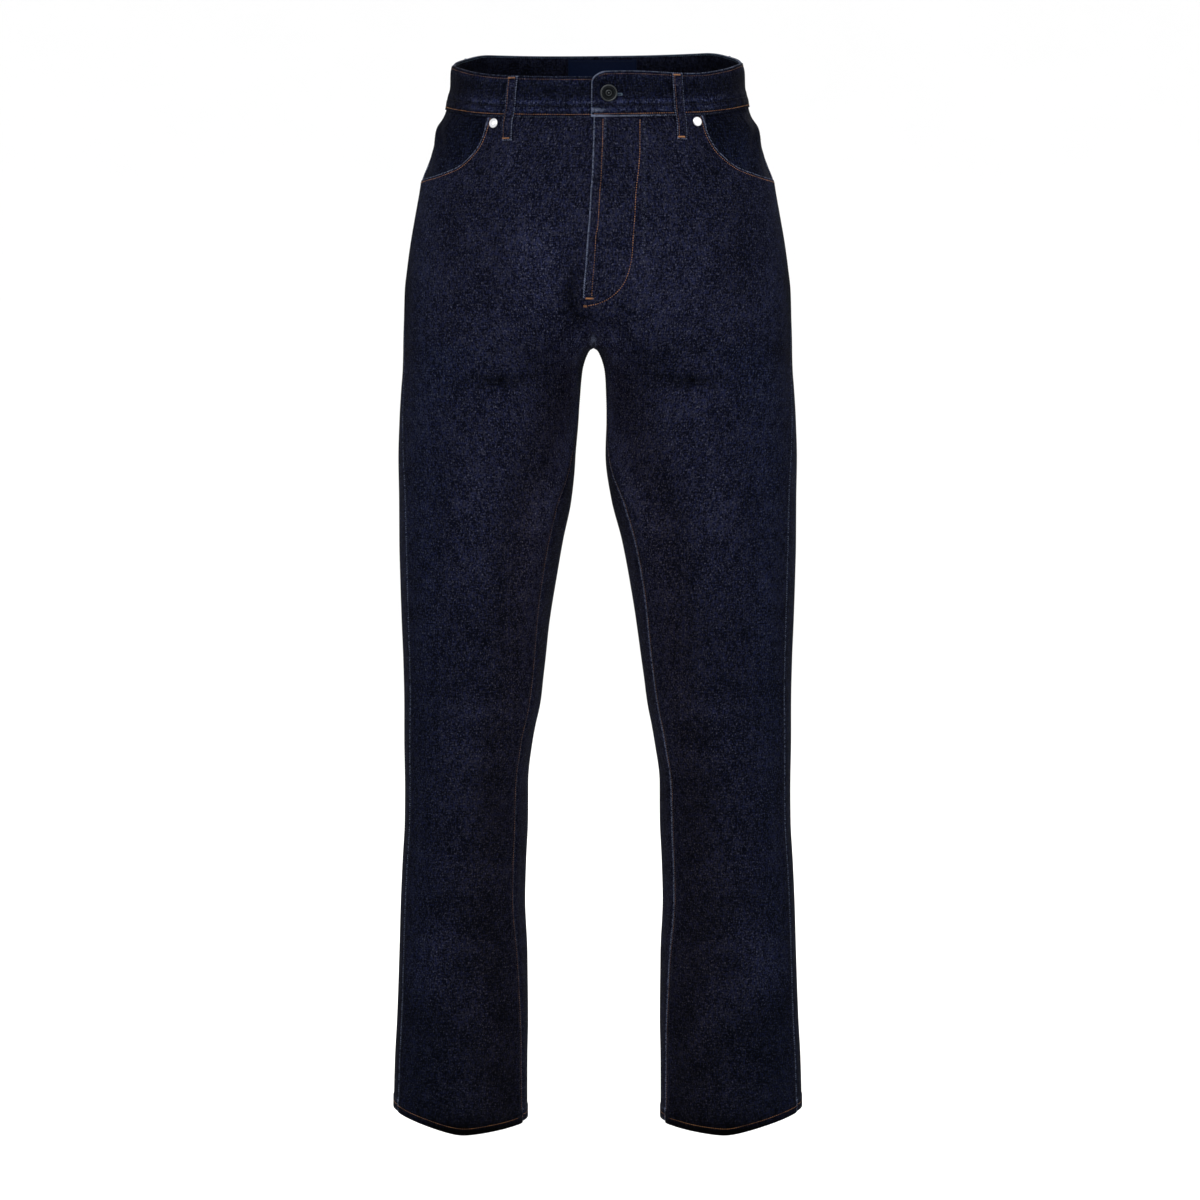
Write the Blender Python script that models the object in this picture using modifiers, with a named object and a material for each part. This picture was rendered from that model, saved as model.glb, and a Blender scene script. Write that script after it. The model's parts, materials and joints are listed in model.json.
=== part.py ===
"""Straight leg jeans, standing open as if worn, with nothing inside.

The front faces -Y, +X is the wearer's left, +Z is up, and the origin is the middle of the waist opening.
All sizes are in millimetres and are turned into metres when a mesh is made.

The cloth's outer face is one smooth form. A place on it is (side, along, level): side is 1 for the wearer's
left half and -1 for the right half, along is the length of cloth from the centre front (or, below the crotch,
from the inseam) round the front, the side and the back, and level is the height.
"""

import math

import bmesh
import bpy
import numpy as np
from mathutils import Matrix, Vector

MM = 0.001
LEFT, RIGHT = 1, -1

# ---------------------------------------------------------------- driving sizes
CLOTH = 1.4  # wall of one layer of denim
BAND_WALL = 2.8  # waistband: outer and inner layer with their turnings
BAND_MIDDLE = -30.0  # level of the waistband's middle
SEAM = 0.5  # parting between two pieces that meet edge to edge
LIFT = 0.35  # clearance of a piece that lies on another
SNAP = 0.02  # a cut this near to a corner goes through it
CROTCH = -293.5  # level where the four leg panels meet
HEM_LEVEL = -1102.0
HEM_OUT_RISE = 6.0  # the hem is this much higher at the outer side than at its middle
HEM_FRONT_DIP = 12.0  # and this much lower at the middle of the front, in a rounded point
HEM_BACK_DIP = 2.0
HEM_POINT = 1.25  # 1 is a sharp point, 2 a round one
HEM_TURN = 12.5  # depth of the turned up hem
HEM_PROUD = 0.7  # the turned up layers stand out by this much


class Table:
    """Rows of numbers under named columns, read between the rows along a smooth curve that never overshoots."""

    def __init__(self, names, rows):
        self.names = names.split()
        self.rows = np.array(sorted(rows), float)
        self.keys = self.rows[:, 0]
        steps = np.diff(self.keys)[:, None]
        rates = np.diff(self.rows, axis=0) / steps
        self.slopes = np.zeros_like(self.rows)
        self.slopes[0], self.slopes[-1] = rates[0], rates[-1]
        before, after = rates[:-1], rates[1:]
        same = before * after > 0
        safe_before, safe_after = np.where(same, before, 1), np.where(same, after, 1)
        near, far = 2 * steps[1:] + steps[:-1], steps[1:] + 2 * steps[:-1]
        mean = (near + far) / (near / safe_before + far / safe_after)
        self.slopes[1:-1] = np.where(same, mean, 0)

    def at(self, name, where):
        """The column's value at each place."""
        column = self.names.index(name)
        where = np.clip(where, self.keys[0], self.keys[-1])
        row = np.clip(np.searchsorted(self.keys, where) - 1, 0, len(self.keys) - 2)
        step = self.keys[row + 1] - self.keys[row]
        f = (where - self.keys[row]) / step
        low, high = self.rows[row, column], self.rows[row + 1, column]
        low_slope, high_slope = self.slopes[row, column] * step, self.slopes[row + 1, column] * step
        return (
            low * (1 + 2 * f) * (1 - f) ** 2
            + low_slope * f * (1 - f) ** 2
            + high * f * f * (3 - 2 * f)
            + high_slope * f * f * (f - 1)
        )


# Seen from the front. outer: half the garment's width. gap: half the space between the legs; above the crotch
# it is how far each leg's ring would run past the middle, so that the two rings melt into one at the waist.
# centre: how far the crotch and the inner legs lie to the wearer's left of the middle.
OUTLINE = Table(
    "level outer gap centre",
    [
        (40, 140, -140, 0),
        (5, 146, -146, 0),
        (-3, 148, -148, 0),
        (-12, 150, -150, 0),
        (-27, 150.5, -150.5, 0),
        (-39, 153.5, -153.5, 0),
        (-52, 156.5, -156.5, 0),
        (-59, 159.5, -159.5, 0),
        (-67, 165, -164.5, 0),
        (-74, 167.5, -166.5, 0),
        (-86, 169, -168, 0),
        (-105, 175.5, -171, 0),
        (-121, 181.8, -170.5, 0),
        (-136, 184.5, -167, -0.5),
        (-160, 189, -158, -0.5),
        (-185, 193.5, -144, -1),
        (-213, 197.5, -122, -1),
        (-233, 199.8, -99, -1.5),
        (-250, 200.5, -72, -2.5),
        (-268, 201, -40, -3.5),
        (-280, 201.4, -18, -4),
        (-288, 201.6, -7, -4.3),
        (CROTCH, 201.7, 0, -4.3),
        (-295, 201.7, 3, -4.3),
        (-299.5, 201.8, 6.2, -4.3),
        (-307, 202, 9.2, -4.3),
        (-317, 202.4, 11.6, -4.3),
        (-336, 204, 13.2, -4.6),
        (-368, 206, 14.2, -5.4),
        (-410, 207.3, 15.5, -7.5),
        (-451, 206.8, 20.5, -6.5),
        (-493, 206.8, 30.3, -5.4),
        (-535, 206, 38, -5),
        (-577, 204.8, 44.8, -5),
        (-619, 203.3, 50, -4.4),
        (-661, 202.6, 55.2, -4),
        (-703, 202.8, 63.3, -4.4),
        (-746, 202.4, 68.6, -4),
        (-788, 203, 69, -4),
        (-831, 205.6, 71, -4),
        (-874, 207.8, 72.2, -4),
        (-930, 209.8, 70, -4),
        (-1002, 212.8, 69.5, -4),
        (-1045, 215.3, 70.3, -4),
        (-1088, 216.6, 70.5, -4),
        (-1130, 217, 70.5, -4),
    ],
)

# Each half's ring. apart: how far its foremost and rearmost points lie from the centre plane. middle: where its
# widest points lie, front to back. front, back: its depth from there. square: 2 is an ellipse, more is squarer.
PROFILE = Table(
    "level apart middle front back square",
    [
        (40, 0, 0, 114, 116, 2.3),
        (-10, 0, 0, 116, 118, 2.3),
        (-52, 0, 0, 119, 124, 2.3),
        (-100, 2.5, 0, 123, 134, 2.25),
        (-150, 14, 1, 123, 141, 2.2),
        (-200, 34, 2, 121, 141, 2.15),
        (-250, 61, 2, 114.5, 132, 2.1),
        (-300, 90, 2, 105.5, 117, 2.05),
        (-350, 106, 2, 98.5, 105.5, 2.05),
        (-410, 111.5, 1, 92, 96.5, 2.05),
        (-500, 119, 0, 84, 87, 2.05),
        (-600, 126, -1, 76.5, 79, 2.05),
        (-700, 133, -1, 71, 74, 2.05),
        (-800, 136.5, 2, 67.5, 70.5, 2.05),
        (-900, 140, 5, 64, 66.5, 2.05),
        (-1000, 141, 7, 60, 61.5, 2.05),
        (-1130, 144, 8, 56, 57, 2.05),
    ],
)

# Radius that softens the middle of the front and back, where the two rings melt into one. It fades out between
# two levels over the crotch.
SOFT_MIDDLE = 8.0
SOFT_FROM, SOFT_TO = -262.0, -288.0

# How far each long seam is turned forwards round the leg, in degrees from the outermost or innermost point.
SEAM_LINES = Table(
    "level side inner",
    [
        (40, 0, 0),
        (-121, 0, 0),
        (-200, 2, 0),
        (-300, 12, 0),
        (-330, 15, 0),
        (-360, 18, 5),
        (-390, 21, 11),
        (-422, 24, 20),
        (-459, 26, 31),
        (-535, 28, 33),
        (-620, 28, 30),
        (-800, 26, 35),
        (-860, 25, 34),
        (-950, 24, 28),
        (-1050, 24, 22),
        (-1130, 24, 20),
    ],
)

# The waistband's top edge and the seam under it, by how far back: -1 centre front, 0 the side, 1 centre back.
WAIST = Table(
    "depth top seam",
    [
        (-1, -23, -63.8),
        (-0.8, -19, -61),
        (-0.6, -13.5, -56.8),
        (-0.4, -8, -52.8),
        (-0.2, -4.5, -49.8),
        (0, -3, -47),
        (0.4, 5, -37.5),
        (0.7, 14.5, -28),
        (1, 14.5, -27.5),
    ],
)
WAIST_TILT = 1.4  # the wearer's left side of the waist is this much higher than the middle

# The largest folds: (share, level, across, down, lean, depth). share is the place across, 0 to 1 over the front
# and 1 to 2 over the back; across and down are half lengths; lean is a turn in degrees; a depth below 0 is a
# trough and above 0 a ridge.
FOLDS = (
    (0.12, -262, 16, 30, 10, -3.0),  # beside the foot of the fly
    (0.3, -306, 44, 13, 8, -2.4),  # pull from the crotch across the front of the thigh
    (0.5, -326, 36, 9, 0, -4.2),  # short crease at the top of the thigh
    (0.5, -352, 40, 16, 0, 1.6),
    (0.32, -420, 15, 85, 2, -2.0),  # long hollow beside the inseam
    (0.62, -640, 34, 20, -14, -1.8),
    (0.34, -688, 34, 14, 12, -2.2),
    (0.4, -742, 32, 15, -16, -1.8),
    (0.52, -872, 36, 16, 32, -2.6),
    (0.38, -935, 34, 15, 38, -2.2),
    (0.66, -1000, 34, 18, 24, -1.8),
    (0.3, -1046, 30, 14, 20, -1.6),
    (1.62, -298, 62, 15, -12, -3.8),  # drag lines under the seat
    (1.5, -332, 54, 13, -8, -3.0),
    (1.56, -366, 46, 14, 6, -2.4),
    (1.66, -655, 42, 11, 14, -3.6),  # back of the knee
    (1.42, -688, 44, 12, -10, -4.0),
    (1.6, -724, 40, 11, 12, -3.0),
    (1.44, -905, 36, 15, -26, -2.6),
    (1.62, -980, 36, 15, 22, -2.2),
)


# ---------------------------------------------------------------- the form of the cloth
TRACE_STEPS = 129  # points along one ring when its length is measured, closer together at its ends
HALF_SEAM = SEAM / 2


def power(value, exponent):
    """The value's size raised to the exponent, with its sign kept."""
    return np.sign(value) * np.abs(value) ** exponent


def ring(side, level):
    """One half's ring at each level: (apart, outward, inward, square, soft), its reaches from its own middle."""
    apart = PROFILE.at("apart", level)
    outward = OUTLINE.at("outer", level) - side * OUTLINE.at("centre", level) - apart
    inward = apart - OUTLINE.at("gap", level) - HALF_SEAM
    soft = SOFT_MIDDLE * np.clip((level - SOFT_TO) / (SOFT_FROM - SOFT_TO), 0, 1)
    return apart, outward, inward, PROFILE.at("square", level), soft


def on_ring(side, angle, level):
    """Points on the rings. angle is 0 at the outer side, negative over the front and positive over the back."""
    apart, outward, inward, square, soft = ring(side, level)
    cosine = power(np.cos(angle), 2 / square)
    away = apart + np.where(cosine > 0, outward, inward) * cosine
    away = np.sqrt(np.maximum(away * away - soft * soft, HALF_SEAM**2))
    sine = power(np.sin(angle), 2 / square)
    depth = np.where(sine < 0, PROFILE.at("front", level), PROFILE.at("back", level))
    x = OUTLINE.at("centre", level) + side * away
    y = PROFILE.at("middle", level) + depth * sine
    return np.stack(np.broadcast_arrays(x, y, level), -1)


def end_angles(side, level):
    """(first, seam, last) angle of the cloth's ring at each level: front edge, side seam, back edge."""
    apart, outward, inward, square, soft = ring(side, level)
    short = apart - np.hypot(HALF_SEAM, soft)
    ratio = np.clip(short / np.where(short > 0, inward, outward), -1, 1)
    cut = np.arccos(-power(ratio, square / 2))
    closed = level <= CROTCH
    turn = np.radians(SEAM_LINES.at("inner", level))
    first = -np.where(closed, math.pi - turn, cut)
    last = np.where(closed, math.pi + turn, cut)
    return first, -np.radians(SEAM_LINES.at("side", level)), last


def trace(side, level):
    """(angles, lengths, length up to the side seam) along each ring."""
    first, seam, last = end_angles(side, level)
    share = (1 - np.cos(np.linspace(0, math.pi, TRACE_STEPS))) / 2
    angles = first[:, None] + (last - first)[:, None] * share
    points = on_ring(side, angles, level[:, None])
    pieces = np.linalg.norm(np.diff(points, axis=1), axis=2)
    lengths = np.concatenate([np.zeros((len(level), 1)), np.cumsum(pieces, 1)], 1)
    return angles, lengths, read_rows(angles, lengths, seam)


def read_rows(keys, values, where):
    """Row by row, the value where the rising keys reach the given number."""
    index = np.clip((keys < where[:, None]).sum(1), 1, keys.shape[1] - 1)
    rows = np.arange(len(index))
    low, high = keys[rows, index - 1], keys[rows, index]
    f = (where - low) / np.maximum(high - low, 1e-9)
    return values[rows, index - 1] * (1 - f) + values[rows, index] * f


def front_length(side, level):
    """Length of cloth from the centre front, or the inseam, to the side seam."""
    return trace(side, np.atleast_1d(np.asarray(level, float)))[2]


def whole_length(side, level):
    """Length of cloth right round one half: a half waist above the crotch, a whole leg below it."""
    return trace(side, np.atleast_1d(np.asarray(level, float)))[1][:, -1]


def smooth_place(side, along, level):
    """Points of the form before any fold."""
    angles, lengths, _ = trace(side, level)
    return on_ring(side, read_rows(lengths, angles, along), level)


def fold_height(side, along, level):
    """How far the folds push the cloth out, or draw it in."""
    _, lengths, seam = trace(side, level)
    total = np.zeros(len(level))
    for share, centre, across, down, lean, depth in FOLDS:
        whole = seam * share if share <= 1 else seam + (lengths[:, -1] - seam) * (share - 1)
        right, up = along - whole, level - centre
        turn = math.radians(lean)
        u = (right * math.cos(turn) + up * math.sin(turn)) / across
        v = (up * math.cos(turn) - right * math.sin(turn)) / down
        total += depth * np.exp(-u * u - v * v)
    return total


def place(side, along, level, out=0.0):
    """Points on the cloth's outer face, moved out by the given height. Below 0, along lies on the other half."""
    along, level, out = (np.asarray(a, float) for a in (along, level, out))
    along, level, out = np.broadcast_arrays(along, level, out)
    shape = along.shape
    along, level, out = along.ravel(), level.ravel(), out.ravel()
    points = np.zeros((len(along), 3))
    for half, chosen in ((side, along >= 0), (-side, along < 0)):
        if chosen.any():
            where, height = np.abs(along[chosen]), level[chosen]
            base = smooth_place(half, where, height)
            facing = normals_of(lambda s, z, h=half: smooth_place(h, s, z), where, height) * half
            lift = fold_height(half, where, height) + out[chosen]
            points[chosen] = base + facing * lift[:, None]
    return points.reshape(*shape, 3)


def normals_of(surface, along, level, step=0.6):
    """Unit normals of a surface(along, level), which point out of the garment on its left half."""
    run = surface(along + step, level) - surface(np.maximum(along - step, 0), level)
    rise = surface(along, level + step) - surface(along, level - step)
    across = np.cross(run, rise)
    return across / np.linalg.norm(across, axis=-1, keepdims=True)


def half_girth(side, level):
    """Length of one half at each level, in the shape that the levels come in."""
    level = np.asarray(level, float)
    return whole_length(side, level.ravel()).reshape(level.shape)


def waist_level(side, share, edge):
    """Level of the waistband's "top" or "seam", by the share of the way from the centre front to the back."""
    share = np.abs(np.atleast_1d(np.asarray(share, float)))
    level = np.full(share.shape, BAND_MIDDLE)
    point = smooth_place(side, share * half_girth(side, level), level)
    y = point[:, 1]
    depth = np.where(y < 0, y / PROFILE.at("front", level), y / PROFILE.at("back", level))
    return WAIST.at(edge, depth) + WAIST_TILT * point[:, 0] / OUTLINE.at("outer", level)


def meet_seam(side, along_at):
    """(along, level) on the waist seam, for columns of cloth whose length at each level is along_at(level)."""
    level = np.full(len(along_at(np.array([BAND_MIDDLE]))), BAND_MIDDLE)
    for _ in range(6):
        along = along_at(level)
        level = waist_level(side, along / half_girth(side, level), "seam")
    return along, level


def hem_edge(side, share):
    """Level of the hem by share: 0 to 1 over the front, 1 to 2 over the back."""
    level = np.full(len(share), HEM_LEVEL)
    point = smooth_place(side, along_of(side, share, level), level)
    apart, outward, inward, _, _ = ring(side, level)
    out = (point[:, 0] - OUTLINE.at("centre", level)) * side - apart
    out = out / np.where(out > 0, outward, inward)
    dip = np.where(share <= 1, HEM_FRONT_DIP, HEM_BACK_DIP)
    return HEM_LEVEL + HEM_OUT_RISE * out - dip * (1.05 - np.hypot(out, 0.05)) ** HEM_POINT


def along_of(side, share, level):
    """Length along the cloth for a share: 0 to 1 over the front, 1 to 2 over the back."""
    share, level = np.broadcast_arrays(np.asarray(share, float), np.asarray(level, float))
    _, lengths, seam = trace(side, level.ravel())
    share_flat = share.ravel()
    over_back = seam + (lengths[:, -1] - seam) * (share_flat - 1)
    return np.where(share_flat <= 1, seam * share_flat, over_back).reshape(share.shape)


# ---------------------------------------------------------------- making solids
def material(name, colour, roughness, metallic=0.0):
    """A Principled material."""
    made = bpy.data.materials.new(name)
    made.use_nodes = True
    shader = made.node_tree.nodes["Principled BSDF"]
    shader.inputs["Base Color"].default_value = (*colour, 1)
    shader.inputs["Roughness"].default_value = roughness
    shader.inputs["Metallic"].default_value = metallic
    return made


def add_object(name, mesh, finish, collection):
    """An object for a finished mesh."""
    mesh.materials.append(finish)
    made = bpy.data.objects.new(name, mesh)
    collection.objects.link(made)
    return made


def sheet(points, flip):
    """A triangulated sheet through a grid of points on a piece's outer face."""
    rows, columns = points.shape[:2]
    bm = bmesh.new()
    grid = [[bm.verts.new(Vector(points[i, j]) * MM) for j in range(columns)] for i in range(rows)]
    for i in range(rows - 1):
        for j in range(columns - 1):
            corners = (grid[i][j], grid[i + 1][j], grid[i + 1][j + 1], grid[i][j + 1])
            bm.faces.new(corners[::-1] if flip else corners)
    bmesh.ops.triangulate(bm, faces=bm.faces[:], quad_method="SHORT_EDGE")
    return bm


def patch(bm, corners, facings):
    """Trims a sheet to the convex outline through the corners, whose facings are the normals there."""
    middle = sum(corners, Vector()) / len(corners)
    for i, corner in enumerate(corners):
        run = corners[(i + 1) % len(corners)] - corner
        across = run.cross(facings[i] + facings[(i + 1) % len(corners)]).normalized()
        if across.dot(middle - corner) > 0:
            across.negate()
        geometry = bm.verts[:] + bm.edges[:] + bm.faces[:]
        bmesh.ops.bisect_plane(
            bm, geom=geometry, dist=SNAP * MM, plane_co=corner * MM, plane_no=across, clear_outer=True
        )


def cloth_piece(name, bm, wall, finish, collection, lift=None):
    """Gives a sheet its wall: inwards from the sheet, or outwards from the given height over it."""
    mesh = bpy.data.meshes.new(name)
    bm.to_mesh(mesh)
    bm.free()
    mesh.shade_smooth()
    made = add_object(name, mesh, finish, collection)
    shell = made.modifiers.new("wall", "SOLIDIFY")
    shell.thickness = wall * MM
    shell.offset = -1 if lift is None else 1 + 2 * lift / wall
    return made


def turned_piece(name, profile, steps, seat, finish, collection):
    """A round piece from a profile of (radius, height), top to bottom, with its axis along the seat's +Z."""
    mesh = bpy.data.meshes.new(name)
    points = [(radius * MM, 0, height * MM) for radius, height in profile]
    mesh.from_pydata(points, [(i, i + 1) for i in range(len(points) - 1)], [])
    made = add_object(name, mesh, finish, collection)
    made.matrix_world = seat
    turn = made.modifiers.new("turn", "SCREW")
    turn.steps = turn.render_steps = steps
    turn.use_merge_vertices = True
    turn.merge_threshold = 0.00002
    turn.use_smooth_shade = True
    return made


# ---------------------------------------------------------------- front panels, fly and front pockets
# The fly's edge, where the left front laps over the right: along is measured from the centre front.
FLY_EDGE = Table(
    "level along",
    [(-40, -3.4), (-66, -3.6), (-110, -5), (-150, -7), (-200, -10.3), (-236, -12.6), (-250, -12), (-272, -5), (-288, 0)],
)
FLY_FOOT = -250.0  # below this the two fronts meet edge to edge
FLY_UNDERLAP = 9.0  # the right front runs this far past the centre, under the left
FLY_WIDTH = 42.0  # from the centre to the end of the doubled cloth
FLY_FADE = 22.0  # the lap's thickness dies away over this height below its foot
FLY_PROUD = CLOTH + LIFT + 0.15  # the left front stands out by this much over the right one

POCKET_MOUTH = {LEFT: 108.0, RIGHT: 113.0}  # along the waist seam from the centre front to the pocket's mouth
POCKET_LEVEL = -121.5  # where the mouth meets the side seam
MOUTH_STEEP = 46.0  # pulls of the mouth's curve at its top and at its side end
MOUTH_FLAT = 100.0
MOUTH_SLANT = 12.0
FACING_MARGIN = 14.0  # the facing runs this far under the front
FACING_DEPTH = CLOTH + 3.5 * LIFT
FACING_FLAT = 5.0  # it stays this deep for this far past the mouth's edge, and then comes up
FACING_SLOPE = 26.0
FACING_ROWS, FACING_COLUMNS = 9, 10

TOP_ZONE = -140.0  # below this the panels' rows are level
BOTTOM_ZONE = -1040.0  # below this they bend to follow the hem
MOUTH_COLUMNS = 8
WAIST_COLUMNS = 7
BACK_COLUMNS = 12
TOP_ROWS = (0, 0.24, 0.48, 0.74)
LEVEL_ROWS = (
    TOP_ZONE, -170, -200, -225, -241, -256, -268, -278, -286, -291, CROTCH,
    -295, -299, -306, -316, -330, -350, -380, -415, -455, -500, -545, -590, -632,
    -660, -688, -716, -746, -800, -855, -905, -955, -1000, BOTTOM_ZONE,
)  # fmt: skip
BOTTOM_ROWS = (0.5,)


def seam_level(side, along):
    """Level of the waist seam at one length from the centre front."""
    return meet_seam(side, lambda level: np.array([float(along)]))[1][0]


def mouth_curve(side, share):
    """(along, level) of the front pocket's mouth, from the waist seam at 0 to the side seam at 1."""
    start = POCKET_MOUTH[side]
    top = seam_level(side, start) - HALF_SEAM
    end = front_length(side, POCKET_LEVEL)[0] - HALF_SEAM
    t = np.linspace(0, 1, 61)
    weights = ((1 - t) ** 3, 3 * t * (1 - t) ** 2, 3 * t**2 * (1 - t), t**3)
    along = sum(w * a for w, a in zip(weights, (start, start + MOUTH_SLANT, end - MOUTH_FLAT, end)))
    level = sum(w * z for w, z in zip(weights, (top, top - MOUTH_STEEP, POCKET_LEVEL, POCKET_LEVEL)))
    length = np.concatenate([[0], np.cumsum(np.hypot(np.diff(along), np.diff(level)))])
    where = np.asarray(share, float) * length[-1]
    return np.interp(where, length, along), np.interp(where, length, level)


def front_edge(side, level):
    """Where a front panel begins at each level, as a length from the centre front or the inseam."""
    lapped = FLY_EDGE.at("along", level)
    if side == RIGHT:
        ends = np.clip((level - FLY_FOOT) / 12.0, 0, 1)
        lapped = -(lapped - 2 * SEAM) * (1 - ends) - FLY_UNDERLAP * ends
    return np.where(level > CROTCH, lapped, HALF_SEAM)


def hem_rows(side, share):
    """Levels of the rows from the last level row down to the hem, with the turned up hem's own edge."""
    edge = hem_edge(side, share)
    fold = edge + HEM_TURN
    rows = [BOTTOM_ZONE + (fold - BOTTOM_ZONE) * part for part in BOTTOM_ROWS]
    return np.array([*rows, fold + 1.2, fold, edge])


def hem_out(rows):
    """How far each of a panel's rows stands out, so that the turned up hem shows."""
    out = np.zeros((rows, 1))
    out[-2:] = HEM_PROUD
    return out


def fly_out(side, along, level):
    """How far the left front stands out where it laps over the right one."""
    if side == RIGHT:
        return np.zeros_like(along)
    sideways = np.clip((FLY_WIDTH - along) / (FLY_WIDTH - FLY_UNDERLAP - 4), 0, 1)
    down = np.clip((level - (FLY_FOOT - FLY_FADE)) / (FLY_FADE - 6), 0, 1)
    return FLY_PROUD * np.where(level > CROTCH, sideways**0.7 * down, 0)


def front_grid(side):
    """(along, level, out) for each point of a front panel."""
    columns = WAIST_COLUMNS + MOUTH_COLUMNS
    share = np.linspace(0, 1, columns + 1)
    split = share[WAIST_COLUMNS]
    start = front_edge(side, np.array([seam_level(side, 0)]))[0]
    top_along = start + (POCKET_MOUTH[side] - start) * share[: WAIST_COLUMNS + 1] / split
    top_level = meet_seam(side, lambda level: top_along)[1] - HALF_SEAM
    mouth_along, mouth_level = mouth_curve(side, (share[WAIST_COLUMNS + 1 :] - split) / (1 - split))
    top_along = np.concatenate([top_along, mouth_along])
    top_level = np.concatenate([top_level, mouth_level])

    def level_row(level):
        level = np.full(columns + 1, float(level))
        first = front_edge(side, level)
        last = front_length(side, level) - HALF_SEAM
        return first + (last - first) * share, level

    low_along, low_level = level_row(TOP_ZONE)
    along, level = [], []
    for part in TOP_ROWS:
        row_level = top_level + (low_level - top_level) * part
        row_along = top_along + (low_along - top_along) * part
        row_along[0] = front_edge(side, row_level[:1])[0]
        row_along[-1] = front_length(side, row_level[-1])[0] - HALF_SEAM
        along.append(row_along)
        level.append(row_level)
    for row in LEVEL_ROWS:
        row_along, row_level = level_row(row)
        along.append(row_along)
        level.append(row_level)
    for row_level in hem_rows(side, share):
        edge_along = along_of(side, share, row_level)
        edge_along[0] = HALF_SEAM
        edge_along[-1] -= HALF_SEAM
        along.append(edge_along)
        level.append(row_level)
    along, level = np.array(along), np.array(level)
    out = fly_out(side, along, level) + hem_out(len(along))
    return along, level, out


def make_front(name, side, finish, collection):
    """A front leg panel, from the waistband to the hem, with the pocket's mouth scooped out of it."""
    along, level, out = front_grid(side)
    return cloth_piece(name, sheet(place(side, along, level, out), side == RIGHT), CLOTH, finish, collection)


def facing_depth(side, along, level):
    """How deep the facing lies: full under the front and beside the mouth, and none where it joins the seams."""
    mouth_along, mouth_level = mouth_curve(side, np.linspace(0, 1, 25))
    gaps = np.hypot(along[..., None] - mouth_along, level[..., None] - mouth_level).min(-1)
    inside = (along < mouth_along[0]) | (level < np.interp(along, mouth_along, mouth_level))
    away = np.where(inside, 0, gaps)
    return FACING_DEPTH * band_part((away - FACING_FLAT) / FACING_SLOPE)


def make_facing(name, side, finish, collection):
    """The denim facing behind a front pocket's mouth, from under the front to the side seam."""
    down = np.linspace(0, 1, FACING_ROWS)[:, None]
    across = np.linspace(0, 1, FACING_COLUMNS)[None, :]
    first = POCKET_MOUTH[side] - FACING_MARGIN
    high_along = first + (front_length(side, -48.0)[0] - 1 - first) * across[0]
    high_level = meet_seam(side, lambda level: high_along)[1] - HALF_SEAM
    low_along = first + (front_length(side, POCKET_LEVEL)[0] - first) * across[0]
    low_level = np.interp(low_along, *mouth_curve(side, np.linspace(0, 1, 25))) - FACING_MARGIN
    level = high_level + (low_level - high_level) * down
    last = front_length(side, level.ravel()).reshape(level.shape) - HALF_SEAM
    along = first + (last - first) * across
    points = place(side, along, level, -facing_depth(side, along, level))
    return cloth_piece(name, sheet(points, side == RIGHT), CLOTH, finish, collection)


# ---------------------------------------------------------------- back panels, yokes and back pockets
YOKE_AT_SIDE = 36.0  # depth of the yoke below the waist seam, at the side and at the centre back
YOKE_AT_BACK = 66.0
BACK_POCKET_WIDTH = 150.0
BACK_POCKET_FOOT = 130.0  # width at the lower corners
BACK_POCKET_SIDE = 128.0  # height of its sides
BACK_POCKET_POINT = 22.0  # how far the middle hangs below them
BACK_POCKET_DROP = 15.0  # its top edge is this far below the yoke's seam
BACK_POCKET_REACH = 118.0  # from the centre back to its middle
BACK_POCKET_TILT = 0.08  # fall of its top edge towards the centre back, along the yoke


def yoke_edge(side, share, seam_level):
    """Level of the seam under the yoke."""
    depth = YOKE_AT_SIDE + (YOKE_AT_BACK - YOKE_AT_SIDE) * (share - 1)
    return seam_level - depth


def back_top(side, share):
    """(waist seam, yoke seam) levels across the back."""
    _, seam = meet_seam(side, lambda level: along_of(side, share, level))
    return seam, yoke_edge(side, share, seam)


def back_along(side, share, level):
    """Lengths for a row of a back panel, held off the seams at its two ends."""
    along = along_of(side, share, level)
    along[0] += HALF_SEAM
    along[-1] -= np.where(level[-1] > CROTCH, 0, HALF_SEAM)
    return along


def back_sheet(side):
    """The outer face of a back leg panel, from the yoke to the hem."""
    share = np.linspace(1, 2, BACK_COLUMNS + 1)
    _, top = back_top(side, share)
    top = top - HALF_SEAM
    rows = [top + (TOP_ZONE - top) * part for part in TOP_ROWS[::2]]
    rows += [np.full(len(share), float(row)) for row in LEVEL_ROWS]
    rows += list(hem_rows(side, share))
    along = np.array([back_along(side, share, row) for row in rows])
    return sheet(place(side, along, np.array(rows), hem_out(len(rows))), side == RIGHT)


def make_back(name, side, finish, collection):
    """A back leg panel."""
    return cloth_piece(name, back_sheet(side), CLOTH, finish, collection)


def make_yoke(name, side, finish, collection):
    """The V-shaped yoke between the waistband and a back panel."""
    share = np.linspace(1, 2, BACK_COLUMNS + 1)
    seam, edge = back_top(side, share)
    high, low = seam - HALF_SEAM, edge + HALF_SEAM
    rows = [high + (low - high) * part for part in (0, 0.34, 0.67, 1)]
    along = np.array([back_along(side, share, row) for row in rows])
    points = place(side, along, np.array(rows))
    return cloth_piece(name, sheet(points, side == RIGHT), CLOTH, finish, collection)


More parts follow.
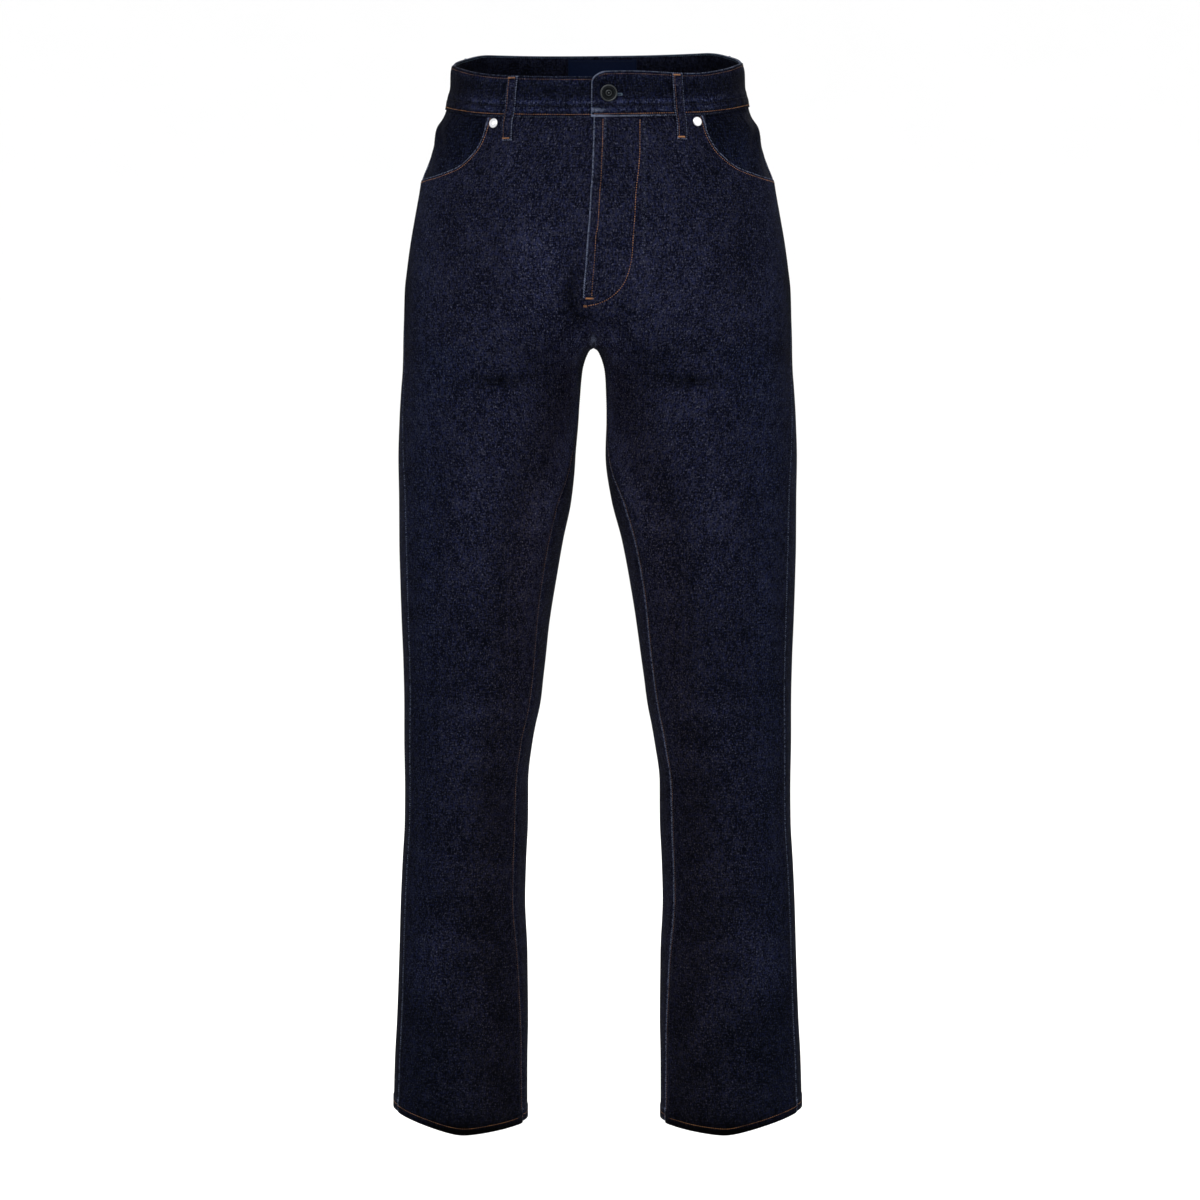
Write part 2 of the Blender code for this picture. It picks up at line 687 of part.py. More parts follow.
def make_back_pocket(name, side, finish, collection):
    """A patch pocket with a pointed foot, cut from the back panel's own sheet and moved out."""
    reach = np.array([BACK_POCKET_REACH])
    _, yoke = back_top(side, 2 - reach / (whole_length(side, -120.0) - front_length(side, -120.0)))
    top = yoke[0] - BACK_POCKET_DROP
    half, foot = BACK_POCKET_WIDTH / 2, BACK_POCKET_FOOT / 2
    tilt = BACK_POCKET_TILT * half
    outline = (
        (half, tilt),
        (foot, tilt - BACK_POCKET_SIDE),
        (0, -BACK_POCKET_SIDE - BACK_POCKET_POINT),
        (-foot, -tilt - BACK_POCKET_SIDE),
        (-half, -tilt),
    )
    level = np.array([top + up for _, up in outline])
    from_back = np.array([BACK_POCKET_REACH + out for out, _ in outline])
    along = half_girth(side, level) - from_back
    corners = [Vector(p) for p in place(side, along, level)]
    facings = [Vector(n) * side for n in normals_of(lambda s, z: place(side, s, z), along, level)]
    bm = back_sheet(side)
    patch(bm, corners, facings)
    return cloth_piece(name, bm, CLOTH, finish, collection, lift=LIFT)


# ---------------------------------------------------------------- waistband, belt loops and label
BAND_OUT = 1.5  # its outer face, beyond the panels'
BAND_END = -5.8  # the upper end of the band, past the centre front
BAND_UNDERLAP = 34.0  # the lower end runs this far past the centre, under the upper one
BAND_RAMP = 70.0  # length over which the two ends part
BAND_RISE = 5.0  # the upper end stands this much higher
BAND_CORNER = 14.0  # radius of its top corner
BAND_COLUMNS = 25
BAND_ROWS = (0, 0.36, 0.72, 1)

LOOP_WIDTH = 10.5
LOOP_WALL = 1.8
LOOP_BELOW = 23.0  # how far a loop reaches below the waist seam
LOOP_BULGE = 0.7
LOOP_LIFT = 0.9  # its clearance over the cloth
# Each loop's place, as a share of the way from the centre front to the centre back, and its lean to the foot.
LOOPS = (
    ("belt_loop_front_left", LEFT, 0.184, -3.0),
    ("belt_loop_front_right", RIGHT, 0.197, -2.5),
    ("belt_loop_side_left", LEFT, 0.63, 0.0),
    ("belt_loop_side_right", RIGHT, 0.63, 0.0),
    ("belt_loop_centre_back", LEFT, 1.0, 0.0),
)


def band_part(places):
    """Cosine ease from 1 at 0 to 0 at 1 and beyond."""
    return 0.5 + 0.5 * np.cos(math.pi * np.clip(places, 0, 1))


def band_top(side, along):
    """Level of the waistband's top edge, by the length along its middle. The upper end rises and has a corner."""
    high = waist_level(side, along / half_girth(side, BAND_MIDDLE), "top")
    if side == LEFT:
        high = high + BAND_RISE * band_part((along - 25) / 90)
        past = np.clip((BAND_END + BAND_CORNER - along) / BAND_CORNER, 0, 1)
        high = high - BAND_CORNER * (1 - np.sqrt(1 - past**2))
    return high


def band_rows(side, along):
    """Points of one end's half of the waistband, bottom row first."""
    share = along / half_girth(side, BAND_MIDDLE)
    high = band_top(side, along)
    low = waist_level(side, share, "seam") + SEAM
    rows = [low + (high - low) * part for part in BAND_ROWS]
    out = band_surface_out(side, along)
    return [place(side, share * half_girth(side, row), row, out) for row in rows]


def make_band(name, finish, collection):
    """The waistband: one strip whose upper end, on the wearer's left, laps over its lower end."""
    corner = BAND_END + BAND_CORNER * (1 - np.cos(np.linspace(0, math.pi / 2, 5)))
    left_end, right_end = (half_girth(side, np.array([BAND_MIDDLE]))[0] for side in (LEFT, RIGHT))
    left_along = np.concatenate([corner, np.linspace(corner[-1], left_end, BAND_COLUMNS)[1:]])
    lower_end = (-BAND_UNDERLAP / 2, -BAND_UNDERLAP)
    right_along = np.concatenate([np.linspace(right_end, 0, BAND_COLUMNS)[1:], lower_end])
    halves = zip(band_rows(LEFT, left_along), band_rows(RIGHT, right_along))
    points = np.array([np.concatenate(rows) for rows in halves])
    return cloth_piece(name, sheet(points, True), BAND_WALL, finish, collection)


def band_surface_out(side, along):
    """Height of the waistband's outer face over the form."""
    if side == LEFT:
        return BAND_OUT + (LIFT + BAND_WALL) / 2 * band_part((along - BAND_UNDERLAP) / BAND_RAMP)
    return BAND_OUT - (LIFT + BAND_WALL) / 2 * band_part((along - 8) / BAND_RAMP)


def around_back(side, along, level, out):
    """place(), for lengths that may run on past the centre back onto the other half."""
    total = half_girth(side, level)
    points = place(side, np.minimum(along, total), level, out)
    past = along > total
    if past.any():
        points[past] = place(-side, (2 * total - along)[past], level[past], out[past])
    return points


def make_loop(name, side, share, lean, finish, collection):
    """A belt loop: a folded strip, sewn to the waistband's top edge and to the cloth below it."""
    middle = share * half_girth(side, np.array([BAND_MIDDLE]))
    top = band_top(side, middle)[0]
    seam = waist_level(side, share, "seam")[0]
    level = np.array([*np.linspace(top, seam, 5), seam - 4, seam - 9, seam - 16, seam - LOOP_BELOW])
    down = (top - level) / (top - level[-1])
    # Over the band the strip bows out a little; below the seam it comes down onto the panel.
    bow = LOOP_LIFT + LOOP_BULGE * np.sin(math.pi * np.clip((top - level) / (top - seam), 0, 1))
    fall = band_part((seam - level) / 14)
    height = LOOP_LIFT + (band_surface_out(side, middle[0]) + bow - LOOP_LIFT) * fall + LOOP_WALL
    across = np.linspace(-LOOP_WIDTH / 2, LOOP_WIDTH / 2, 3)
    level = level[:, None] + 0 * across
    along = share * half_girth(side, level) + across + lean * down[:, None]
    points = around_back(side, along, level, height[:, None] + 0 * along)
    return cloth_piece(name, sheet(points, side == RIGHT), LOOP_WALL, finish, collection)


LABEL_WIDTH = 73.0
LABEL_HEIGHT = 32.0
LABEL_WALL = 1.0
LABEL_DROP = 4.0  # below the waistband's top edge
LABEL_SHIFT = 5.0  # towards the wearer's left


def make_label(name, finish, collection):
    """The bare cloth label sewn inside the waistband at the centre back."""
    top = WAIST.at("top", 1.0) - LABEL_DROP
    across = np.linspace(-LABEL_WIDTH / 2, LABEL_WIDTH / 2, 9)
    level = top - LABEL_HEIGHT * np.linspace(0, 1, 4)[:, None] + 0 * across
    along = half_girth(LEFT, level) - LABEL_SHIFT + across
    out = np.full(level.shape, BAND_OUT - BAND_WALL - LIFT)
    points = around_back(LEFT, along, level, out)
    return cloth_piece(name, sheet(points, False), LABEL_WALL, finish, collection)


# ---------------------------------------------------------------- metal
BUTTON_ALONG, BUTTON_LEVEL = 10.6, -40.5
BUTTON_RADIUS = 8.5
# From the centre of the cap out to its rim and down the shank: (radius, height over the cloth).
BUTTON_PROFILE = (
    (0, 5.2), (1.6, 5.1), (2.2, 4.5), (4.6, 4.7), (6.6, 4.4), (7.6, 5.0), (BUTTON_RADIUS, 4.1),
    (8.0, 3.2), (3.6, 2.6), (3.4, 0), (0, 0),
)  # fmt: skip
RIVET_RADIUS = 4.8
RIVET_PROFILE = (
    (0, 1.7), (1.0, 1.6), (1.6, 1.1), (4.0, 1.3), (RIVET_RADIUS, 0.5), (4.6, 0), (0, 0),
)  # fmt: skip
# Rivets at the top corners of the front pockets: (name, side), and how far each is inside the mouth and down.
RIVETS = (("rivet_left", LEFT), ("rivet_right", RIGHT))
RIVET_INSET, RIVET_DROP = 6.5, 6.0


def seat_on(side, along, level, out):
    """A matrix whose +Z stands out from the cloth at a place."""
    spots_along = np.array([along, along + 1, along])
    spots_level = np.array([level, level, level + 1.0])
    spot, beside, above = place(side, spots_along, spots_level, out)
    x = Vector(beside - spot).normalized() * side
    z = x.cross(Vector(above - spot)).normalized()
    y = z.cross(x)
    turn = Matrix((x, y, z)).transposed().to_4x4()
    return Matrix.Translation(Vector(spot) * MM) @ turn


def make_metal(button_finish, rivet_finish, collection):
    """The waist button and the two pocket rivets."""
    seat = seat_on(LEFT, BUTTON_ALONG, BUTTON_LEVEL, band_surface_out(LEFT, BUTTON_ALONG) + LIFT)
    turned_piece("waist_button", BUTTON_PROFILE, 20, seat, button_finish, collection)
    for name, side in RIVETS:
        along = POCKET_MOUTH[side] - RIVET_INSET
        level = seam_level(side, along) - RIVET_DROP
        seat = seat_on(side, along, level, LIFT)
        turned_piece(name, RIVET_PROFILE, 14, seat, rivet_finish, collection)


# ---------------------------------------------------------------- the garment
def main():
    """Clears the scene and makes each piece of the jeans."""
    for old in list(bpy.data.objects):
        bpy.data.objects.remove(old)
    collection = bpy.data.collections.new("straight_leg_jeans")
    bpy.context.scene.collection.children.link(collection)

    denim = material("indigo_denim", (0.012, 0.014, 0.027), 0.9)
    label = material("navy_label", (0.003, 0.005, 0.016), 0.7)
    dark_metal = material("dark_metal", (0.06, 0.065, 0.07), 0.4, 1.0)
    nickel = material("nickel", (0.75, 0.75, 0.76), 0.3, 1.0)

    for side, half in ((LEFT, "left"), (RIGHT, "right")):
        make_front(f"front_{half}", side, denim, collection)
        make_facing(f"pocket_facing_{half}", side, denim, collection)
        make_yoke(f"yoke_{half}", side, denim, collection)
        make_back(f"back_{half}", side, denim, collection)
        make_back_pocket(f"back_pocket_{half}", side, denim, collection)
    make_band("waistband", denim, collection)
    for name, side, middle, lean in LOOPS:
        make_loop(name, side, middle, lean, denim, collection)
    make_label("waist_label", label, collection)
    make_metal(dark_metal, nickel, collection)


main()
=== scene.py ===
"""Dresses a pair of straight leg jeans: dark indigo denim, topstitching, metal, floor, light and camera.

The jeans stand open as if worn. The front faces -Y, +X is the wearer's left, +Z is up, and the origin is the
middle of the waist opening. Shapes are worked out in millimetres and turned into metres in each mesh.

A place on the cloth is (half, along, level): the wearer's left or right half, the length of cloth from the
centre front (below the crotch, from the inseam) round the side to the back, and the height.
"""

from __future__ import annotations

import json
import logging
import math
import sys
from collections.abc import Callable
from dataclasses import dataclass, field
from enum import Enum
from typing import NamedTuple

import bmesh
import bpy
import numpy as np
from mathutils import Matrix, Vector

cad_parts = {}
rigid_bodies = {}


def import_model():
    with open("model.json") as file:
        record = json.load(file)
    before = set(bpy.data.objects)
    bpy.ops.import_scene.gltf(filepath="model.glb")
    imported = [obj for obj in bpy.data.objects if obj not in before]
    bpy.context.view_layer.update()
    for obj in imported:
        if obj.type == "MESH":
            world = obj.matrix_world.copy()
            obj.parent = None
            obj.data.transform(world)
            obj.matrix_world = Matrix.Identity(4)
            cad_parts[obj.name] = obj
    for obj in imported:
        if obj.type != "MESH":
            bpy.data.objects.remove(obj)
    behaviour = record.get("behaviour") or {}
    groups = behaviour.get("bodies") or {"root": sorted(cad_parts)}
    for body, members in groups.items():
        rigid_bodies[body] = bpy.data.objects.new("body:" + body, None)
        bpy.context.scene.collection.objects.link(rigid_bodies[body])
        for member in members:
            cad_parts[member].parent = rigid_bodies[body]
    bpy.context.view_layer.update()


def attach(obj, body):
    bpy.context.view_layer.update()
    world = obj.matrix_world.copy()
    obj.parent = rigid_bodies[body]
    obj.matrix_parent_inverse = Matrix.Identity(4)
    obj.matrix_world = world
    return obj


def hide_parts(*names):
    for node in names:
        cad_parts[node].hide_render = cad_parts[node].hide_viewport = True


LOG = logging.getLogger("jeans")
MM = 0.001
BODY = "root"
Array = np.ndarray
Socket = bpy.types.NodeSocket
Colour = tuple[float, float, float]
Point = tuple[float, float, float]


class Half(Enum):
    """One half of the garment, named for the wearer's side. The value is the sign of its X."""

    LEFT = 1
    RIGHT = -1

    @property
    def word(self) -> str:
        """The half's name in lower case."""
        return self.name.lower()

    @property
    def other(self) -> "Half":
        """The opposite half."""
        return Half(-self.value)


# ---------------------------------------------------------------- the form of the cloth
class Columns:
    """Rows of numbers under named columns, read along a smooth curve that never overshoots them."""

    def __init__(self, names: str, *rows: tuple[float, ...]) -> None:
        """Works out the curve's slopes.

        Args:
            names: the columns' names, the first being the key.
            rows: one tuple for each row.
        """
        self.names = names.split()
        self.rows = np.array(sorted(rows), float)
        self.keys = self.rows[:, 0]
        steps = np.diff(self.keys)[:, None]
        rates = np.diff(self.rows, axis=0) / steps
        self.slopes = np.zeros_like(self.rows)
        self.slopes[0], self.slopes[-1] = rates[0], rates[-1]
        before, after = rates[:-1], rates[1:]
        same = before * after > 0
        safe_before, safe_after = np.where(same, before, 1), np.where(same, after, 1)
        near, far = 2 * steps[1:] + steps[:-1], steps[1:] + 2 * steps[:-1]
        mean = (near + far) / (near / safe_before + far / safe_after)
        self.slopes[1:-1] = np.where(same, mean, 0)

    def at(self, name: str, where: Array | float) -> Array:
        """Reads one column.

        Args:
            name: the column.
            where: the key's values to read it at.

        Returns:
            The column's value at each key.
        """
        column = self.names.index(name)
        where = np.clip(where, self.keys[0], self.keys[-1])
        row = np.clip(np.searchsorted(self.keys, where) - 1, 0, len(self.keys) - 2)
        step = self.keys[row + 1] - self.keys[row]
        f = (where - self.keys[row]) / step
        low, high = self.rows[row, column], self.rows[row + 1, column]
        low_slope, high_slope = self.slopes[row, column] * step, self.slopes[row + 1, column] * step
        return (
            low * (1 + 2 * f) * (1 - f) ** 2
            + low_slope * f * (1 - f) ** 2
            + high * f * f * (3 - 2 * f)
            + high_slope * f * f * (f - 1)
        )


class Crease(NamedTuple):
    """A soft trough or ridge in the cloth, on both halves or only on one.

    share is the place across, 0 to 1 over the front and 1 to 2 over the back. across and down are half
    lengths in millimetres, lean is a turn in degrees, and a height below 0 is a trough.
    """

    share: float
    level: float
    across: float
    down: float
    lean: float
    height: float
    only: Half | None = None


def crease_table(*rows: tuple) -> tuple[Crease, ...]:
    """Creases from rows of their numbers and, for one that lies on one half only, that half."""
    return tuple(Crease(*row) for row in rows)


# The folds that the solids have.
MAIN_CREASES = crease_table(
    (0.12, -262, 16, 30, 10, -3.0), (0.3, -306, 44, 13, 8, -2.4), (0.5, -326, 36, 9, 0, -4.2),
    (0.5, -352, 40, 16, 0, 1.6), (0.32, -420, 15, 85, 2, -2.0), (0.62, -640, 34, 20, -14, -1.8),
    (0.34, -688, 34, 14, 12, -2.2), (0.4, -742, 32, 15, -16, -1.8), (0.52, -872, 36, 16, 32, -2.6),
    (0.38, -935, 34, 15, 38, -2.2), (0.66, -1000, 34, 18, 24, -1.8), (0.3, -1046, 30, 14, 20, -1.6),
    (1.62, -298, 62, 15, -12, -3.8), (1.5, -332, 54, 13, -8, -3.0), (1.56, -366, 46, 14, 6, -2.4),
    (1.66, -655, 42, 11, 14, -3.6), (1.42, -688, 44, 12, -10, -4.0), (1.6, -724, 40, 11, 12, -3.0),
    (1.44, -905, 36, 15, -26, -2.6), (1.62, -980, 36, 15, 22, -2.2),
)

# Finer creases, listed one by one.
FINE_CREASES = crease_table(
    # pulls below the waistband and beside the fly
    (0.30, -92, 4, 22, 4, -1.0), (0.36, -100, 5, 26, 6, 1.0), (0.47, -98, 4, 24, -5, -1.2),
    (0.53, -118, 6, 26, -12, 1.0), (0.60, -128, 5, 30, -14, -1.0), (0.27, -160, 5, 34, 3, 1.2),
    (0.24, -196, 5, 28, -4, -1.0), (0.29, -226, 22, 6, -24, 1.2), (0.33, -243, 26, 6, -28, -1.4),
    # whiskers from the crotch
    (0.22, -276, 30, 6, -26, 1.8), (0.2, -288, 26, 5, -30, -2.0), (0.34, -286, 34, 7, -18, -1.5),
    (0.12, -306, 16, 5, -34, 1.8), (0.1, -322, 16, 5, -40, -2.0), (0.14, -340, 18, 7, -46, 1.4),
    (0.66, -334, 24, 7, -8, -1.5), (0.4, -338, 22, 5, 7, 1.4), (0.72, -300, 30, 8, 12, -1.2),
    # down the thigh
    (0.2, -395, 6, 44, 3, -1.4), (0.56, -430, 16, 76, -2, 2.2), (0.72, -470, 12, 66, 3, -1.7),
    (0.16, -500, 7, 60, 3, 1.2), (0.44, -560, 9, 60, -3, -1.0), (0.8, -560, 9, 50, 5, 1.2),
    # knee
    (0.2, -600, 20, 7, 16, -1.7), (0.28, -628, 24, 7, 12, 1.4), (0.5, -668, 26, 7, -8, 1.5),
    (0.72, -676, 22, 7, -18, -1.7), (0.2, -712, 22, 7, 14, 1.4), (0.62, -728, 24, 8, -12, -1.5),
    (0.24, -768, 22, 8, 18, -1.5),
    # calf and hem
    (0.6, -806, 24, 8, 20, -1.5), (0.3, -832, 24, 8, 26, 1.4), (0.68, -908, 22, 8, 28, 1.5),
    (0.22, -898, 20, 8, 30, -1.5), (0.56, -958, 26, 8, 34, 1.4), (0.2, -985, 20, 8, 26, -1.4),
    (0.42, -1024, 22, 8, 28, -1.5), (0.8, -1052, 12, 22, -6, -1.4), (0.12, -1072, 8, 26, 5, -1.4),
    (0.48, -1070, 12, 26, 4, 1.2),
    # seat and back of the thigh
    (1.86, -150, 6, 44, 4, -1.2), (1.9, -232, 26, 7, 30, -1.8), (1.84, -262, 30, 8, 26, 1.8),
    (1.88, -288, 28, 6, 32, -2.1), (1.9, -316, 24, 7, 38, 1.5), (1.3, -282, 34, 8, -16, -1.8),
    (1.26, -318, 30, 7, -10, 1.5), (1.74, -348, 30, 8, 12, 1.8), (1.34, -352, 28, 7, -4, -1.5),
    (1.5, -440, 14, 70, 2, 1.8), (1.3, -480, 10, 60, -4, -1.5), (1.74, -500, 10, 60, 4, -1.4),
    (1.24, -180, 24, 8, -14, -1.4),
    # back of the knee
    (1.5, -628, 34, 8, 8, -2.7), (1.34, -662, 28, 7, -14, 2.2), (1.56, -672, 34, 7, 6, 2.4),
    (1.74, -694, 26, 7, 16, -2.7), (1.5, -708, 34, 7, -6, 2.4), (1.3, -716, 26, 7, -18, -2.4),
    (1.44, -748, 30, 8, 8, 1.8), (1.7, -760, 26, 8, 18, -1.8), (1.34, -790, 26, 9, -14, -1.5),
    # back of the calf and hem
    (1.6, -836, 26, 9, 22, 1.5), (1.3, -858, 24, 9, -26, -1.5), (1.66, -900, 24, 9, 24, -1.8),
    (1.38, -950, 26, 9, -24, 1.5), (1.46, -1020, 24, 9, -18, -1.8), (1.74, -1046, 10, 24, 4, -1.4),
    (1.24, -1066, 9, 26, -5, -1.4),
)

# Where the cloth is painted paler or darker, mostly as light and shade: a crease's columns, the last the
# change of tone.
SHADE_AND_TONE_PATCHES = crease_table(
    # painted light and shade: belly and seat paler where light falls, sides, shins and hem darker as shade
    (0.3, -170, 260, 150, 0, 0.10), (0.12, -235, 50, 55, 0, 0.22), (0.5, -1080, 260, 330, 0, -0.28),
    (0.5, -1122, 300, 22, 0, -0.80), (1.5, -190, 260, 130, 0, 0.20), (1.5, -1080, 260, 330, 0, -0.28),
    (0.93, -240, 32, 90, 0, -0.42), (0.97, -195, 20, 55, 0, -0.34), (1.05, -230, 30, 90, 0, -0.24),
    (0.95, -620, 24, 330, 0, -0.20), (1.06, -500, 30, 380, 0, -0.16),
    (0.22, -165, 20, 40, 0, 0.10, Half.RIGHT), (0.22, -212, 17, 36, 0, 0.48, Half.RIGHT),
    (0.36, -215, 16, 30, 0, 0.30, Half.LEFT), (0.16, -205, 20, 34, 0, 0.26, Half.LEFT),
    (0.30, -255, 22, 16, 0, 0.16), (0.4, -270, 30, 16, 0, 0.08), (0.5, -590, 60, 60, 0, -0.13),
    (0.5, -600, 60, 60, 0, -0.09, Half.LEFT), (0.62, -190, 50, 50, 0, -0.17),
    # long soft streaks beside the fly and below the pockets
    (0.30, -200, 5, 60, 3, 0.16, Half.RIGHT), (0.40, -190, 6, 50, -2, -0.16, Half.RIGHT),
    (0.52, -210, 7, 60, 2, 0.14, Half.RIGHT), (0.34, -160, 5, 60, -2, -0.16, Half.LEFT),
    (0.43, -190, 5, 60, 3, 0.14, Half.LEFT), (0.60, -210, 7, 50, 4, -0.12, Half.LEFT),
    # painted shade in the hollow round the fly's foot, and painted light lifting the real shade at the crotch
    (0.085, -220, 7.5, 28, 12, -0.48, Half.RIGHT), (0.105, -240, 10, 20, -4, -0.52, Half.RIGHT),
    (0.08, -261, 13, 6, -8, -0.65, Half.RIGHT), (0.09, -266, 14, 4, 6, -0.30, Half.LEFT),
    (0.07, -291, 28, 17, 0, 0.75), (0.05, -330, 15, 34, 0, 0.60),
    # painted shade in the short crease at the top of each thigh, and painted light on the swell below it
    (0.48, -326, 18, 4.6, 9, -0.52), (0.37, -321, 14, 4.4, -6, -0.34), (0.48, -313, 24, 7, 0, 0.10),
    (0.5, -338, 20, 9, 0, 0.20),
    # the inside of the thigh painted paler, lifting the real shade between the legs; paler and darker patches
    # lower down
    (0.07, -360, 14, 60, 0, 0.90), (0.12, -440, 15, 70, 0, 0.42), (0.26, -345, 12, 50, -4, -0.22),
    (0.32, -560, 14, 130, 0, -0.12), (0.2, -780, 26, 100, 0, -0.24), (0.12, -1010, 22, 90, 0, -0.12),
    (0.42, -460, 16, 110, 0, 0.16), (0.56, -560, 26, 90, 4, 0.08), (0.48, -690, 18, 60, 6, 0.12),
    (0.55, -890, 14, 30, 4, 0.26), (0.34, -960, 10, 50, -8, 0.20), (0.72, -900, 26, 90, 0, 0.10),
    (0.76, -935, 32, 34, 0, 0.26), (0.66, -830, 34, 26, 0, 0.12), (0.5, -1000, 20, 50, 12, 0.12),
    # painted shade in the troughs of the pulls below the belt loops and under the waistband, painted light on
    # their ridge
    (0.49, -112, 9, 34, 0, -0.26), (0.36, -96, 6, 26, 6, 0.16), (0.28, -88, 5, 22, -4, -0.14),
    (0.62, -146, 16, 40, -16, -0.14),
    # painted shade in the seat's creases, the knee's hollows and by the back inseam, painted light on the
    # ridge down the back of the thigh
    (1.5, -310, 70, 16, -6, -0.24), (1.62, -300, 40, 8, -12, -0.20), (1.5, -470, 50, 110, 0, 0.12),
    (1.52, -690, 60, 30, 0, -0.18), (1.84, -420, 24, 90, 0, -0.16),
)


def signed_power(value: Array, exponent: Array) -> Array:
    """The value's size raised to the exponent, with its sign kept."""
    return np.sign(value) * np.abs(value) ** exponent


def ease(places: Array | float) -> Array:
    """Cosine ease from 1 at 0 to 0 at 1 and beyond."""
    return 0.5 + 0.5 * np.cos(math.pi * np.clip(places, 0, 1))


def bump(distance: Array | float, width: float) -> Array:
    """A bell curve of height 1 at no distance."""
    return np.exp(-((np.asarray(distance, float) / width) ** 2))


def step_up(places: Array | float) -> Array:
    """Smooth step from 0 at 0 to 1 at 1 and beyond."""
    held = np.clip(places, 0, 1)
    return held * held * (3 - 2 * held)


def step_down(places: Array | float) -> Array:
    """Smooth step from 1 at 0 to 0 at 1 and beyond."""
    return 1 - step_up(places)


def nearest(points: tuple[Array, Array], line: tuple[Array, Array]) -> Array:
    """Distance from each (along, level) point to the nearest point of a line."""
    return np.hypot(points[0][..., None] - line[0], points[1][..., None] - line[1]).min(-1)


def run_of(*coordinates: Array) -> Array:
    """Distance gone along a line at each of its points."""
    steps = np.linalg.norm([np.diff(values) for values in coordinates], axis=0)
    return np.concatenate([[0], np.cumsum(steps)])


def widen(values: Array) -> Array:
    """Repeats the first and the last column three times more."""
    return np.pad(values, [(0, 0)] * (values.ndim - 1) + [(3, 3)], mode="edge")


class JeansForm:
    """The smooth form of the cloth's outer face, with its creases, and every seam line on it."""

    SEAM = 0.5  # parting between two pieces that meet edge to edge
    CROTCH = -293.5
    HEM = -1102.0
    HEM_OUT_RISE = 6.0
    HEM_FRONT_DIP, HEM_BACK_DIP = 12.0, 2.0
    HEM_POINT, HEM_ROUND = 1.25, 0.15  # how pointed the hem's dips are, and how round at their foot
    HEM_LOWEST = -0.05  # where they are deepest, from the ring's middle outwards
    SOFT_MIDDLE = 8.0  # how far the two halves round into each other at the centre
    SOFT_FROM, SOFT_TO = -262.0, -288.0
    BAND_MIDDLE = -30.0
    WAIST_TILT = 1.4
    TRACE_STEPS = 129
    MEET_STEPS = 6  # how often a meeting with the waist seam is worked out anew
    CREASE_REACH = 3.0  # how far a crease is felt, in its own half lengths
    NORMAL_STEP = 0.6
    BOTTOM, TOP = -1130.0, 40.0  # the tables' lowest and highest levels
    JUMP_BELOW, JUMP_ABOVE = -344.0, -240.0  # lengths round a ring jump between these levels
    # Painted light and shade: each ridge is painted paler and each trough darker, by this much for each
    # millimetre.
    RIDGE_TONE = 0.08  # how much paler a ridge is, for each millimetre

    # outer: half the width. gap: half the space between the legs; above the crotch, how far each leg's ring
    # would run past the middle. centre: how far the legs' middle lies to the wearer's left.
    OUTLINE = Columns(
        "level outer gap centre",
        (40, 140, -140, 0), (5, 146, -146, 0), (-3, 148, -148, 0), (-12, 150, -150, 0),
        (-27, 150.5, -150.5, 0), (-39, 153.5, -153.5, 0), (-52, 156.5, -156.5, 0), (-59, 159.5, -159.5, 0),
        (-67, 165, -164.5, 0), (-74, 167.5, -166.5, 0), (-86, 169, -168, 0), (-105, 175.5, -171, 0),
        (-121, 181.8, -170.5, 0), (-136, 184.5, -167, -0.5), (-160, 189, -158, -0.5),
        (-185, 193.5, -144, -1), (-213, 197.5, -122, -1), (-233, 199.8, -99, -1.5),
        (-250, 200.5, -72, -2.5), (-268, 201, -40, -3.5), (-280, 201.4, -18, -4), (-288, 201.6, -7, -4.3),
        (-293.5, 201.7, 0, -4.3), (-295, 201.7, 3, -4.3), (-299.5, 201.8, 6.2, -4.3),
        (-307, 202, 9.2, -4.3), (-317, 202.4, 11.6, -4.3), (-336, 204, 13.2, -4.6),
        (-368, 206, 14.2, -5.4), (-410, 207.3, 15.5, -7.5), (-451, 206.8, 20.5, -6.5),
        (-493, 206.8, 30.3, -5.4), (-535, 206, 38, -5), (-577, 204.8, 44.8, -5), (-619, 203.3, 50, -4.4),
        (-661, 202.6, 55.2, -4), (-703, 202.8, 63.3, -4.4), (-746, 202.4, 68.6, -4), (-788, 203, 69, -4),
        (-831, 205.6, 71, -4), (-874, 207.8, 72.2, -4), (-930, 209.8, 70, -4), (-1002, 212.8, 69.5, -4),
        (-1045, 215.3, 70.3, -4), (-1088, 216.6, 70.5, -4), (-1130, 217, 70.5, -4),
    )
    # apart: how far each half's foremost and rearmost points lie from the centre. middle: where its widest
    # points lie. front, back: its depth from there. square: 2 is an ellipse, more is squarer.
    PROFILE = Columns(
        "level apart middle front back square",
        (40, 0, 0, 114, 116, 2.3), (-10, 0, 0, 116, 118, 2.3), (-52, 0, 0, 119, 124, 2.3),
        (-100, 2.5, 0, 123, 134, 2.25), (-150, 14, 1, 123, 141, 2.2), (-200, 34, 2, 121, 141, 2.15),
        (-250, 61, 2, 114.5, 132, 2.1), (-300, 90, 2, 105.5, 117, 2.05), (-350, 106, 2, 98.5, 105.5, 2.05),
        (-410, 111.5, 1, 92, 96.5, 2.05), (-500, 119, 0, 84, 87, 2.05), (-600, 126, -1, 76.5, 79, 2.05),
        (-700, 133, -1, 71, 74, 2.05), (-800, 136.5, 2, 67.5, 70.5, 2.05), (-900, 140, 5, 64, 66.5, 2.05),
        (-1000, 141, 7, 60, 61.5, 2.05), (-1130, 144, 8, 56, 57, 2.05),
    )
    # How far each long seam is turned forwards round the leg, in degrees.
    SEAM_LINES = Columns(
        "level side inner",
        (40, 0, 0), (-121, 0, 0), (-200, 2, 0), (-300, 12, 0), (-330, 15, 0), (-360, 18, 5),
        (-390, 21, 11), (-422, 24, 20), (-459, 26, 31), (-535, 28, 33), (-620, 28, 30), (-800, 26, 35),
        (-860, 25, 34), (-950, 24, 28), (-1050, 24, 22), (-1130, 24, 20),
    )
